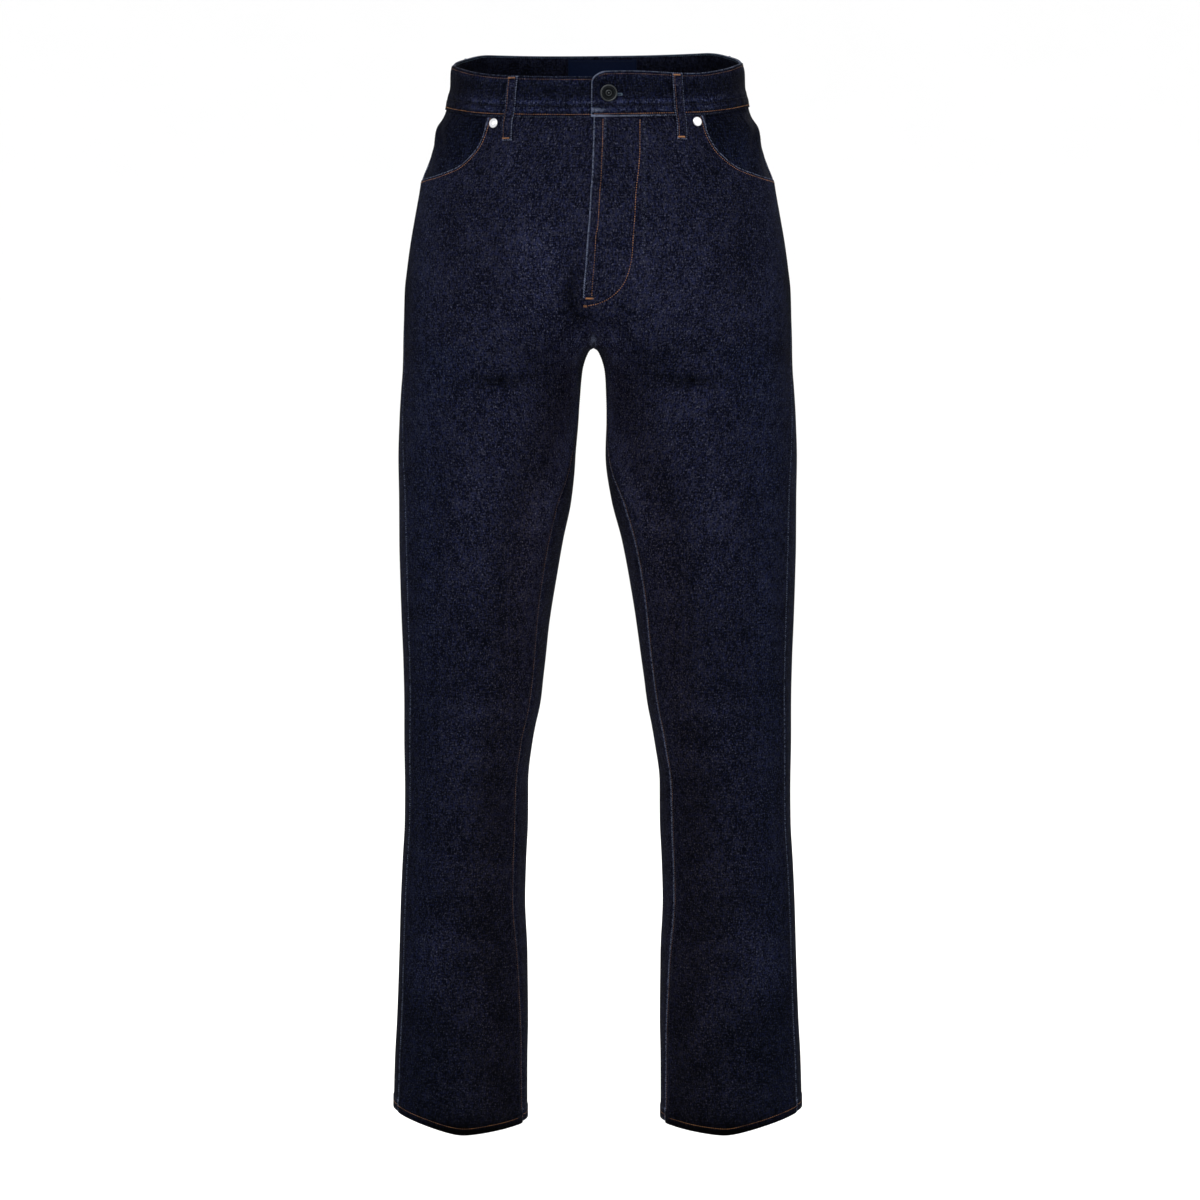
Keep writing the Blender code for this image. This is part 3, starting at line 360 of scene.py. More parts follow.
    # The waistband's top edge and the seam under it, by how far back: -1 centre front, 1 centre back.
    WAIST = Columns(
        "depth top seam",
        (-1, -23, -63.8), (-0.8, -19, -61), (-0.6, -13.5, -56.8), (-0.4, -8, -52.8), (-0.2, -4.5, -49.8),
        (0, -3, -47), (0.2, 2.4, -42.3), (0.4, 7.2, -37.5), (0.7, 14.2, -28), (1, 15, -27.5),
    )
    # The fly's edge, where the left front laps over the right, as a length from the centre front.
    FLY_EDGE = Columns(
        "level along",
        (-40, -3.4), (-66, -3.6), (-110, -5), (-150, -7), (-200, -10.3), (-236, -12.6), (-250, -12),
        (-272, -5), (-288, 0),
    )

    def __init__(self, creases: tuple[Crease, ...]) -> None:
        """Keeps the creases that the cloth takes.

        Args:
            creases: every fold and crease.
        """
        self.creases = creases
        self.half_seam = self.SEAM / 2
        self.steady: dict[Half, tuple[Array, Array, Array]] = {}

    def ring(self, half: Half, level: Array) -> tuple[Array, Array, Array, Array, Array]:
        """One half's ring at each level.

        Args:
            half: the half.
            level: the levels.

        Returns:
            (apart, outward, inward, square, soft), the reaches being from the ring's own middle.
        """
        apart = self.PROFILE.at("apart", level)
        outward = self.OUTLINE.at("outer", level) - half.value * self.OUTLINE.at("centre", level) - apart
        inward = apart - self.OUTLINE.at("gap", level) - self.half_seam
        fade = np.clip((level - self.SOFT_TO) / (self.SOFT_FROM - self.SOFT_TO), 0, 1)
        return apart, outward, inward, self.PROFILE.at("square", level), self.SOFT_MIDDLE * fade

    def on_ring(self, half: Half, angle: Array, level: Array) -> Array:
        """Points on the rings, by angle: 0 at the outer side, below 0 over the front, above 0 over the back.

        Args:
            half: the half.
            angle: the angles.
            level: the levels.

        Returns:
            The points.
        """
        apart, outward, inward, square, soft = self.ring(half, level)
        cosine = signed_power(np.cos(angle), 2 / square)
        away = apart + np.where(cosine > 0, outward, inward) * cosine
        away = np.sqrt(np.maximum(away * away - soft * soft, self.half_seam**2))
        sine = signed_power(np.sin(angle), 2 / square)
        depth = np.where(sine < 0, self.PROFILE.at("front", level), self.PROFILE.at("back", level))
        x = self.OUTLINE.at("centre", level) + half.value * away
        y = self.PROFILE.at("middle", level) + depth * sine
        return np.stack(np.broadcast_arrays(x, y, level), -1)

    def end_angles(self, half: Half, level: Array) -> tuple[Array, Array, Array]:
        """Where the cloth begins, has its side seam, and ends at each level.

        Args:
            half: the half.
            level: the levels.

        Returns:
            (angle of the front edge, of the side seam, of the back edge).
        """
        apart, outward, inward, square, soft = self.ring(half, level)
        short = apart - np.hypot(self.half_seam, soft)
        ratio = np.clip(short / np.where(short > 0, inward, outward), -1, 1)
        cut = np.arccos(-signed_power(ratio, square / 2))
        closed = level <= self.CROTCH
        turn = np.radians(self.SEAM_LINES.at("inner", level))
        first = -np.where(closed, math.pi - turn, cut)
        last = np.where(closed, math.pi + turn, cut)
        return first, -np.radians(self.SEAM_LINES.at("side", level)), last

    def trace(self, half: Half, level: Array) -> tuple[Array, Array, Array]:
        """Measures each ring.

        Args:
            half: the half.
            level: the levels.

        Returns:
            (angles, lengths, length up to the side seam) along each ring.
        """
        levels, rows = np.unique(level, return_inverse=True)
        first, seam, last = self.end_angles(half, levels)
        share = (1 - np.cos(np.linspace(0, math.pi, self.TRACE_STEPS))) / 2
        angles = first[:, None] + (last - first)[:, None] * share
        points = self.on_ring(half, angles, levels[:, None])
        pieces = np.linalg.norm(np.diff(points, axis=1), axis=2)
        lengths = np.concatenate([np.zeros((len(levels), 1)), np.cumsum(pieces, 1)], 1)
        return angles[rows], lengths[rows], self.read_rows(angles, lengths, seam)[rows]

    @staticmethod
    def read_rows(keys: Array, values: Array, where: Array) -> Array:
        """Row by row, the value where the rising keys reach the given number.

        Args:
            keys: a row of rising keys for each row.
            values: a value for each key.
            where: a number for each row.

        Returns:
            The values.
        """
        index = np.clip((keys < where[:, None]).sum(1), 1, keys.shape[1] - 1)
        rows = np.arange(len(index))
        low, high = keys[rows, index - 1], keys[rows, index]
        f = (where - low) / np.maximum(high - low, 1e-9)
        return values[rows, index - 1] * (1 - f) + values[rows, index] * f

    def front_length(self, half: Half, level: Array | float) -> Array:
        """Length of cloth from the centre front, or the inseam, to the side seam."""
        level = np.asarray(level, float)
        return self.trace(half, level.ravel())[2].reshape(level.shape)

    def whole_length(self, half: Half, level: Array | float) -> Array:
        """Length of cloth right round one half: a half waist above the crotch, a whole leg below it."""
        level = np.asarray(level, float)
        return self.trace(half, level.ravel())[1][:, -1].reshape(level.shape)

    def along_of(self, half: Half, share: Array, level: Array) -> Array:
        """Length along the cloth for a share: 0 to 1 over the front, 1 to 2 over the back.

        Args:
            half: the half.
            share: the shares.
            level: the levels.

        Returns:
            The lengths.
        """
        share, level = np.broadcast_arrays(np.asarray(share, float), np.asarray(level, float))
        _, lengths, seam = self.trace(half, level.ravel())
        flat = share.ravel()
        over_back = seam + (lengths[:, -1] - seam) * (flat - 1)
        return np.where(flat <= 1, seam * flat, over_back).reshape(share.shape)

    def smooth_place(self, half: Half, along: Array, level: Array) -> Array:
        """Points of the form before any crease."""
        angles, lengths, _ = self.trace(half, level)
        return self.on_ring(half, self.read_rows(lengths, angles, along), level)

    def steady_lengths(self, half: Half, level: Array) -> tuple[Array, Array]:
        """Lengths over the front and the back, carried smoothly across the crotch, where the true ones jump.

        Args:
            half: the half.
            level: the levels.

        Returns:
            (front, back) at each level.
        """
        if half not in self.steady:
            low = np.arange(self.BOTTOM, self.JUMP_BELOW, 15)
            keys = np.concatenate([low, np.arange(self.JUMP_ABOVE, self.TOP + 1, 10)])
            _, lengths, seam = self.trace(half, keys)
            self.steady[half] = (keys, seam, lengths[:, -1] - seam)
        keys, front, back = self.steady[half]
        return np.interp(level, keys, front), np.interp(level, keys, back)

    def patches(self, creases: tuple[Crease, ...], half: Half, along: Array, level: Array) -> Array:
        """The sum of some creases' heights at each place.

        Args:
            creases: the creases.
            half: the half.
            along: lengths.
            level: levels.

        Returns:
            The sum.
        """
        along, level = np.broadcast_arrays(np.asarray(along, float), np.asarray(level, float))
        seam = self.front_length(half, level)
        front, back = self.steady_lengths(half, level)
        total = np.zeros(level.shape)
        for crease in creases:
            near = np.abs(level - crease.level) < self.CREASE_REACH * max(crease.down, crease.across)
            if crease.only is half.other or not near.any():
                continue
            steady = (front if crease.share <= 1 else back)[near]
            right = along[near] - seam[near] - steady * (crease.share - 1)
            up, turn = level[near] - crease.level, math.radians(crease.lean)
            u = (right * math.cos(turn) + up * math.sin(turn)) / crease.across
            v = (up * math.cos(turn) - right * math.sin(turn)) / crease.down
            total[near] += crease.height * np.exp(-u * u - v * v)
        return total

    def tones(self, half: Half, along: Array, level: Array) -> Array:
        """Change of tone at each place, mostly painted light and shade: paler and darker patches, and ridges
        painted paler than troughs.
        """
        ridges = self.patches(self.creases, half, along, level)
        return self.patches(SHADE_AND_TONE_PATCHES, half, along, level) + self.RIDGE_TONE * ridges

    def warmth(self, half: Half, along: Array, level: Array) -> Array:
        """How warm the indigo is at each place: brown above 0 and cool below.

        Args:
            half: the half.
            along: lengths from the centre front.
            level: levels.

        Returns:
            The warmth: brown inside the leg and cool at its side.
        """
        front, whole = self.steady_lengths(half, level)
        share = np.where(along < front, along / front, (whole - along) / (whole - front))
        low = step_up((-600 - level) / 300)
        high = step_down((-380 - level) / 160)
        inner = bump(share - 0.20 - 0.04 * (low + high), 0.18 + 0.06 * low - 0.04 * high)
        inner = inner * step_up((-285 - level) / 50)
        return np.clip((0.86 - 0.25 * high) * inner - 0.75 * step_up((share - 0.55) / 0.35), -1, 1)

    def place(self, half: Half, along: Array, level: Array, out: Array | float = 0.0) -> Array:
        """Points on the cloth's outer face.

        Args:
            half: the half.
            along: lengths; below 0 they lie on the other half, and past the end they run on round.
            level: heights.
            out: how far each point is moved out from the face.

        Returns:
            The points, with a last axis of three.
        """
        along, level, out = np.broadcast_arrays(*(np.asarray(a, float) for a in (along, level, out)))
        shape = along.shape
        along, level, out = along.ravel().copy(), level.ravel(), out.ravel()
        total = self.whole_length(half, level)
        closed = level <= self.CROTCH
        over = along > total
        swap = np.where(closed, False, (along < 0) | over)
        along = np.where(over & closed, along - total, along)
        along = np.where((along < 0) & closed, total + along, along)
        beyond = self.whole_length(half.other, level) - (along - total)
        along = np.where(over & ~closed, beyond, along)
        points = np.zeros((len(along), 3))
        for there, chosen in ((half, ~swap), (half.other, swap)):
            if chosen.any():
                where, height = np.abs(along[chosen]), level[chosen]
                base = self.smooth_place(there, where, height)
                lift = self.patches(self.creases, there, where, height) + out[chosen]
                points[chosen] = base + self.normals(there, where, height) * lift[:, None]
        return points.reshape(*shape, 3)

    def normals(self, half: Half, along: Array, level: Array) -> Array:
        """Unit normals of the smooth form, pointing out of the garment.

        Args:
            half: the half.
            along: lengths.
            level: levels.

        Returns:
            The normals.
        """
        step = self.NORMAL_STEP
        before = np.maximum(along - step, 0)
        run = self.smooth_place(half, along + step, level) - self.smooth_place(half, before, level)
        rise = self.smooth_place(half, along, level + step) - self.smooth_place(half, along, level - step)
        across = np.cross(run, rise) * half.value
        return across / np.linalg.norm(across, axis=-1, keepdims=True)

    def facing(self, half: Half, along: Array, level: Array) -> Array:
        """Unit normals of the creased cloth at each place, from three places close together.

        Args:
            half: the half.
            along: lengths.
            level: levels.

        Returns:
            The normals.
        """
        here = self.place(half, along, level)
        run = self.place(half, np.asarray(along) + 1.0, level) - here
        rise = self.place(half, along, np.asarray(level) + 1.0) - here
        across = np.cross(run, rise) * half.value
        return across / np.linalg.norm(across, axis=-1, keepdims=True)

    # ------------------------------------------------------------ lines on the form
    def waist_level(self, half: Half, share: Array | float, edge: str) -> Array:
        """Level of one of the waistband's two edges.

        Args:
            half: the half.
            share: how far round from the centre front to the centre back.
            edge: "top" or "seam".

        Returns:
            The levels.
        """
        share = np.abs(np.atleast_1d(np.asarray(share, float)))
        level = np.full(share.shape, self.BAND_MIDDLE)
        point = self.smooth_place(half, share * self.whole_length(half, level), level)
        y = point[:, 1]
        depth = np.where(y < 0, y / self.PROFILE.at("front", level), y / self.PROFILE.at("back", level))
        return self.WAIST.at(edge, depth) + self.WAIST_TILT * point[:, 0] / self.OUTLINE.at("outer", level)

    def meet_seam(self, half: Half, along_at: Callable[[Array], Array]) -> tuple[Array, Array]:
        """Where columns meet the waist seam.

        Args:
            half: the half.
            along_at: gives each column's length at its level.

        Returns:
            (along, level).
        """
        level = np.full(len(along_at(np.array([self.BAND_MIDDLE]))), self.BAND_MIDDLE)
        for _ in range(self.MEET_STEPS):
            along = along_at(level)
            level = self.waist_level(half, along / self.whole_length(half, level), "seam")
        return along, level

    def seam_level(self, half: Half, along: Array) -> Array:
        """Level of the waist seam at each length from the centre front."""
        along = np.atleast_1d(np.asarray(along, float))
        return self.meet_seam(half, lambda level: along)[1]

    def hem_edge(self, half: Half, share: Array) -> Array:
        """Level of the hem by share: 0 to 1 over the front, 1 to 2 over the back.

        Args:
            half: the half.
            share: the shares.

        Returns:
            The levels.
        """
        level = np.full(len(share), self.HEM)
        point = self.smooth_place(half, self.along_of(half, share, level), level)
        apart, outward, inward, _, _ = self.ring(half, level)
        out = (point[:, 0] - self.OUTLINE.at("centre", level)) * half.value - apart
        out = out / np.where(out > 0, outward, inward)
        dip = np.where(share <= 1, self.HEM_FRONT_DIP, self.HEM_BACK_DIP)
        away = np.hypot(out - self.HEM_LOWEST, self.HEM_ROUND)
        middle = (1 + self.HEM_ROUND - away) ** self.HEM_POINT
        return self.HEM + self.HEM_OUT_RISE * out - dip * middle


# ---------------------------------------------------------------- finishes
class Graph:
    """Short calls for building one material's nodes."""

    def __init__(self, name: str) -> None:
        """Starts a material with a Principled shader.

        Args:
            name: the material's name.
        """
        self.material = bpy.data.materials.new(name)
        self.material.use_nodes = True
        self.tree = self.material.node_tree
        self.shader = self.tree.nodes["Principled BSDF"]

    def set(self, **sockets: float | tuple[float, ...]) -> None:
        """Sets the shader's own sockets, named with underscores for spaces."""
        for name, value in sockets.items():
            self.shader.inputs[name.replace("_", " ")].default_value = value

    def add(self, kind: str, values: dict[str, object] | None = None, **settings: object) -> bpy.types.Node:
        """Adds a node.

        Args:
            kind: the node's type, without its ShaderNode.
            values: what each input is set to, or the output it is linked to.
            settings: the node's own settings.

        Returns:
            The node.
        """
        node = self.tree.nodes.new("ShaderNode" + kind)
        for name, value in settings.items():
            setattr(node, name, value)
        for name, value in (values or {}).items():
            socket = node.inputs[name]
            if isinstance(value, Socket):
                self.tree.links.new(value, socket)
            else:
                socket.default_value = value
        return node

    def math(self, operation: str, first: object, second: object = 0.0, clamp: bool = False) -> Socket:
        """The result of a Math node."""
        return self.add("Math", {0: first, 1: second}, operation=operation, use_clamp=clamp).outputs[0]

    def mask(self, name: str) -> Socket:
        """A number that the mesh carries at each point."""
        return self.add("Attribute", attribute_name=name).outputs["Fac"]

    def noise(self, where: Socket, scale: float, detail: float = 1.0) -> Socket:
        """Noise about 0.5."""
        values = {"Vector": where, "Scale": scale, "Detail": detail, "Roughness": 0.6}
        return self.add("TexNoise", values).outputs["Fac"]

    def grain(self, where: Socket, across: float, along: float, detail: float = 1.0) -> Socket:
        """Noise with stretched grains, by how many lie in a metre each way."""
        scaled = self.add("Mapping", {"Vector": where, "Scale": (across, along, 1.0)}).outputs[0]
        return self.noise(scaled, 1.0, detail)

    def ramp(self, factor: object, low: float, high: float) -> Socket:
        """0 below low and 1 above high, rising smoothly between."""
        values = {"Value": factor, "From Min": low, "From Max": high}
        return self.add("MapRange", values, interpolation_type="SMOOTHSTEP").outputs[0]

    def blend(self, factor: object, first: object, second: object, way: str = "MIX") -> Socket:
        """Blends two colours.

        Args:
            factor: the second colour's share.
            first: one colour.
            second: the other.
            way: the node's way of blending.

        Returns:
            The colour.
        """
        node = self.add("Mix", data_type="RGBA", blend_type=way)
        for index, value in ((0, factor), (6, first), (7, second)):
            if isinstance(value, Socket):
                self.tree.links.new(value, node.inputs[index])
            else:
                node.inputs[index].default_value = (*value, 1.0) if isinstance(value, tuple) else value
        return node.outputs[2]

    def use(self, socket: str, value: Socket) -> None:
        """Links a value to one of the shader's sockets."""
        self.tree.links.new(value, self.shader.inputs[socket])

    def bump(self, height: Socket, depth: float, under: object = None) -> Socket:
        """Turns a relief into a normal.

        Args:
            height: the relief, from 0 to 1.
            depth: its full height in metres.
            under: a normal that it is laid over.

        Returns:
            The normal.
        """
        values = {"Height": height, "Distance": depth, "Strength": 1.0}
        if under is not None:
            values["Normal"] = under
        return self.add("Bump", values).outputs[0]


class Threads(NamedTuple):
    """The patterns of a weave: fine even noise, streaks along the warp and the twill's slanting ridges."""

    fine: Socket
    warp: Socket
    twill: Socket


@dataclass(frozen=True)
class Finish:
    """A finish, built as one material of its name."""

    name: str

    def make(self) -> bpy.types.Material:
        """Builds the material.

        Returns:
            The material.
        """
        graph = Graph(self.name)
        self.mix(graph)
        return graph.material

    def mix(self, graph: Graph) -> None:
        """Sets the shader of a new material up. Each finish has its own way."""
        raise NotImplementedError


@dataclass(frozen=True)
class DenimFinish(Finish):
    """Raw indigo twill: dark warp with paler flecks of weft, rubbed pale along edges and seams.

    The colours are linear. The weave follows the "cloth" map, which is in metres along and across the warp.
    The masks wear, fade, warm, pucker and ripple are read from the mesh. The fade mask is mostly painted
    light and shade, with some rubbed tone, and the wear mask holds a painted highlight at the waistband's
    upper corner.
    """

    name: str = "indigo_denim"
    dark: Colour = (0.0009, 0.0011, 0.0032)
    light: Colour = (0.0066, 0.0079, 0.0205)
    grey: Colour = (0.0092, 0.0099, 0.0168)
    fleck: Colour = (0.032, 0.034, 0.050)
    worn: Colour = (0.082, 0.096, 0.145)
    brown: Colour = (1.16, 1.0, 0.90)
    cool: Colour = (0.84, 0.97, 1.14)
    flecks: float = 0.78
    tone: float = 0.375
    twill_turn: float = 27.0  # degrees from the warp
    grain: float = 0.00022
    pucker: float = 0.006

    def mix(self, graph: Graph) -> None:
        """Sets the shader up.

        Args:
            graph: the material's nodes.
        """
        cloth = graph.add("UVMap", uv_map="cloth").outputs[0]
        fine = graph.noise(cloth, 560, 2.0)
        warp = graph.grain(cloth, 900, 150)
        turn = (0, 0, math.radians(self.twill_turn))
        slanted = graph.add("Mapping", {"Vector": cloth, "Rotation": turn}).outputs[0]
        values = {"Vector": slanted, "Scale": 340.0, "Distortion": 1.6, "Detail": 1.0, "Detail Scale": 1.5}
        twill = graph.add("TexWave", values, wave_type="BANDS", bands_direction="X").outputs["Fac"]
        threads = Threads(fine, warp, twill)
        graph.use("Base Color", self.colour(graph, cloth, threads))
        graph.use("Normal", self.relief(graph, cloth, threads))
        graph.set(Roughness=0.9, IOR=1.4, Specular_IOR_Level=0.02)

    def colour(self, graph: Graph, cloth: Socket, threads: Threads) -> Socket:
        """Mixes the colour.

        Args:
            graph: the material's nodes.
            cloth: the "cloth" map.
            threads: the weave's patterns.

        Returns:
            The colour.
        """
        place = graph.add("TexCoord").outputs["Object"]
        parts = (
            (threads.fine, 4.5),
            (threads.warp, 2.3),
            (threads.twill, 0.42),
            (graph.grain(cloth, 150, 820), 1.9),  # weft
            (graph.grain(cloth, 260, 90, 2.0), 1.5),  # coarse slubs
            (graph.grain(cloth, 110, 52, 2.0), 1.6),  # mottling
            (graph.noise(place, 22, 3.0), 1.2),  # blotches of the dye
        )
        tone = self.tone
        for part, weight in parts:
            centred = graph.math("SUBTRACT", part, 0.5)
            tone = graph.math("ADD", graph.math("MULTIPLY", centred, weight), tone)
        tone = graph.math("ADD", tone, 0.0, clamp=True)
        greyness = graph.ramp(graph.grain(cloth, 330, 210), 0.40, 0.60)
        colour = graph.blend(tone, self.dark, graph.blend(greyness, self.light, self.grey))
        spark = graph.ramp(graph.grain(cloth, 620, 420), 0.59, 0.74)
        colour = graph.blend(graph.math("MULTIPLY", spark, self.flecks), colour, self.fleck)
        warmth = graph.math("ADD", graph.math("MULTIPLY", graph.mask("warm"), 0.5), 0.5, clamp=True)
        colour = graph.blend(1.0, colour, graph.blend(warmth, self.cool, self.brown), "MULTIPLY")
        # The fade mask brightens or darkens the colour: painted light and shade for the most part, with some
        # rubbed tone.
        value = graph.math("ADD", graph.mask("fade"), 1.0)
        colour = graph.add("HueSaturation", {"Color": colour, "Value": value}).outputs[0]
        # The ridges of the twill cross a rubbed edge at a slant, which reads as pale dashes.
        values = {"Vector": cloth, "Scale": 299.0, "Distortion": 0.6}
        ridges = graph.add("TexWave", values, wave_type="BANDS", bands_direction="DIAGONAL").outputs["Fac"]
        dash = graph.math("ADD", graph.noise(cloth, 430, 1.0), graph.math("MULTIPLY", ridges, 0.45))
        dash = graph.math("MULTIPLY", graph.math("SUBTRACT", dash, 0.72), 1.7)
        wear = graph.mask("wear")
        rubbed = graph.ramp(graph.math("ADD", wear, dash), 0.22, 0.85)
        rubbed = graph.math("MULTIPLY", rubbed, graph.ramp(wear, 0.03, 0.35))
        return graph.blend(rubbed, colour, self.worn)

    def relief(self, graph: Graph, cloth: Socket, threads: Threads) -> Socket:
        """Mixes the relief: twill, crumples and the puckers beside seams.

        Args:
            graph: the material's nodes.
            cloth: the "cloth" map.
            threads: the weave's patterns.

        Returns:
            The normal.
        """
        weave = graph.math("ADD", graph.math("MULTIPLY", threads.twill, 0.5), threads.fine)
        weave = graph.math("ADD", weave, graph.math("MULTIPLY", threads.warp, 0.6))
        crumple = graph.noise(cloth, 55, 2.0)
        across = graph.math("MULTIPLY", graph.grain(cloth, 120, 14), graph.mask("pucker"))
        upright = graph.math("MULTIPLY", graph.grain(cloth, 14, 120), graph.mask("ripple"))
        waves = graph.math("ADD", across, upright)
        waves = graph.math("ADD", waves, graph.math("MULTIPLY", crumple, 0.28))
        return graph.bump(weave, self.grain, graph.bump(waves, self.pucker))


@dataclass(frozen=True)
class ThreadFinish(Finish):
    """Twisted sewing thread with soft changes of tone along it."""

    colour: Colour
    deep: Colour

    def mix(self, graph: Graph) -> None:
        """Sets the shader up.

        Args:
            graph: the material's nodes.
        """
        place = graph.add("TexCoord").outputs["Object"]
        tone = graph.ramp(graph.noise(place, 130, 2.0), 0.36, 0.66)
        graph.use("Base Color", graph.blend(tone, self.deep, self.colour))
        graph.use("Normal", graph.bump(graph.noise(place, 2600, 1.0), 0.0001))
        graph.set(Roughness=0.75, IOR=1.45, Specular_IOR_Level=0.1)


@dataclass(frozen=True)
class LabelFinish(Finish):
    """Smooth woven satin with fine cross ribs."""

    name: str = "navy_satin"
    colour: Colour = (0.0008, 0.0020, 0.0074)
    bright: Colour = (0.0015, 0.0034, 0.0116)

    def mix(self, graph: Graph) -> None:
        """Sets the shader up.

        Args:
            graph: the material's nodes.
        """
        cloth = graph.add("UVMap", uv_map="cloth").outputs[0]
        ribs = graph.grain(cloth, 300, 2200)
        graph.use("Base Color", graph.blend(graph.ramp(ribs, 0.3, 0.7), self.colour, self.bright))
        graph.use("Normal", graph.bump(ribs, 0.00006))
        graph.set(Roughness=0.6, IOR=1.45, Specular_IOR_Level=0.02)


@dataclass(frozen=True)
class MetalFinish(Finish):
    """Cast metal with a cloudy polish and fine scuffs."""

    colour: Colour
    tarnish: Colour
    smooth: float
    rough: float

    def mix(self, graph: Graph) -> None:
        """Sets the shader up.

        Args:
            graph: the material's nodes.
        """
        place = graph.add("TexCoord").outputs["Object"]
        cloud = graph.ramp(graph.noise(place, 1100, 3.0), 0.40, 0.75)
        cloud = graph.math("MULTIPLY", cloud, 0.45)
        cloud = graph.math("ADD", cloud, graph.mask("recess"), clamp=True)
        scuff = graph.noise(place, 3200, 2.0)
        graph.use("Base Color", graph.blend(cloud, self.colour, self.tarnish))
        values = {"Value": cloud, "To Min": self.smooth, "To Max": self.rough}
        graph.use("Roughness", graph.add("MapRange", values).outputs[0])
        graph.use("Normal", graph.bump(scuff, 0.00005))
        graph.set(Metallic=1.0)


@dataclass(frozen=True)
class StudioFinish(Finish):
    """Matt paper for the studio's floor."""

    name: str = "floor_paper"
    colour: Colour = (0.93, 0.93, 0.93)

    def mix(self, graph: Graph) -> None:
        """Sets the shader up.

        Args:
            graph: the material's nodes.
        """
        place = graph.add("TexCoord").outputs["Object"]
        soft = tuple(part * 0.985 for part in self.colour)
        graph.use("Base Color", graph.blend(graph.noise(place, 3.0, 2.0), self.colour, soft))
        graph.set(Roughness=0.95, Specular_IOR_Level=0.1)


class Slot(Enum):
    """The record's material slots."""

    DENIM = "denim"
    ORANGE = "orange_thread"
    NAVY = "navy_thread"
    RUST = "rust_thread"
    PALE = "pale_thread"
    LABEL = "label"
    DARK_METAL = "dark_metal"
    NICKEL = "nickel"

    @property
    def recorded(self) -> str:
        """The record's name for it: rust is the orange thread worn dull, pale the wrong side of the navy."""
        return {Slot.RUST: Slot.ORANGE, Slot.PALE: Slot.NAVY}.get(self, self).value


FINISHES = {
    Slot.DENIM: DenimFinish(),
    Slot.ORANGE: ThreadFinish("orange_thread", (0.225, 0.106, 0.048), (0.095, 0.043, 0.021)),
    Slot.NAVY: ThreadFinish("navy_thread", (0.0050, 0.0058, 0.0120), (0.0018, 0.0022, 0.0050)),
    Slot.RUST: ThreadFinish("rust_thread", (0.100, 0.051, 0.034), (0.030, 0.017, 0.016)),
    Slot.PALE: ThreadFinish("pale_thread", (0.055, 0.078, 0.108), (0.018, 0.028, 0.045)),
    Slot.LABEL: LabelFinish(),
    Slot.DARK_METAL: MetalFinish("dark_metal", (0.034, 0.037, 0.039), (0.003, 0.0035, 0.004), 0.30, 0.50),
    Slot.NICKEL: MetalFinish("nickel", (0.86, 0.86, 0.87), (0.62, 0.62, 0.64), 0.24, 0.40),
}
INSIDE_DENIM = DenimFinish(
    "inside_denim",
    dark=(0.020, 0.025, 0.040),
    light=(0.080, 0.092, 0.128),
    grey=(0.088, 0.094, 0.118),
    fleck=(0.17, 0.18, 0.21),
    worn=(0.20, 0.22, 0.26),
)
# The waistband's inner face: the same indigo painted darker, as the shade inside the waist.
SHADED_BAND_LINING = DenimFinish(
    "band_lining",
    dark=(0.0009, 0.0010, 0.0026),
    light=(0.0064, 0.0073, 0.0158),
    grey=(0.0076, 0.0081, 0.0134),
    fleck=(0.019, 0.020, 0.029),
    worn=(0.055, 0.080, 0.120),
)


# ---------------------------------------------------------------- the bench
@dataclass
class Grid:
    """Places on one piece of cloth, in rows from the top down, with what its finish reads there.

    Lengths are in millimetres. across is the weave's own length across the piece.
    """

    half: Half
    along: Array
    level: Array
    out: Array
    across: Array
    masks: dict[str, Array | float] = field(default_factory=dict)


@dataclass(frozen=True)
class Stitch:
    """The size of a row's stitches."""

    length: float = 1.5
    gap: float = 0.9
    radius: float = 0.34


def lathe(name: str, profile: list[tuple[float, float]], steps: int, start: float = 0.0) -> bpy.types.Mesh:
    """Turns a profile round the Z axis, with its corners and faces in the same order on every run.

    Args:
        name: the mesh's name.
        profile: (radius, height) in metres, from the axis at the top round to the axis at the foot.
        steps: how many steps the full turn takes.
        start: the angle that the first step stands at.

    Returns:
        The closed mesh, facing outwards.
    """
    (_, top), *rings, (_, foot) = profile
    turns = [start + step * math.tau / steps for step in range(steps)]
    walls = [
        (radius * math.cos(turn), radius * math.sin(turn), high) for radius, high in rings for turn in turns
    ]
    here = np.arange(steps) + 1
    ahead = np.roll(here, -1)
    lowest = len(walls) - steps
    faces = [(0, one, other) for one, other in zip(here, ahead)]
    for up in range(0, lowest, steps):
        faces += zip(here + up, here + up + steps, ahead + up + steps, ahead + up)
    faces += [(one, len(walls) + 1, other) for one, other in zip(here + lowest, ahead + lowest)]
    mesh = bpy.data.meshes.new(name)
    mesh.from_pydata([(0, 0, top), *walls, (0, 0, foot)], [], faces)
    return mesh


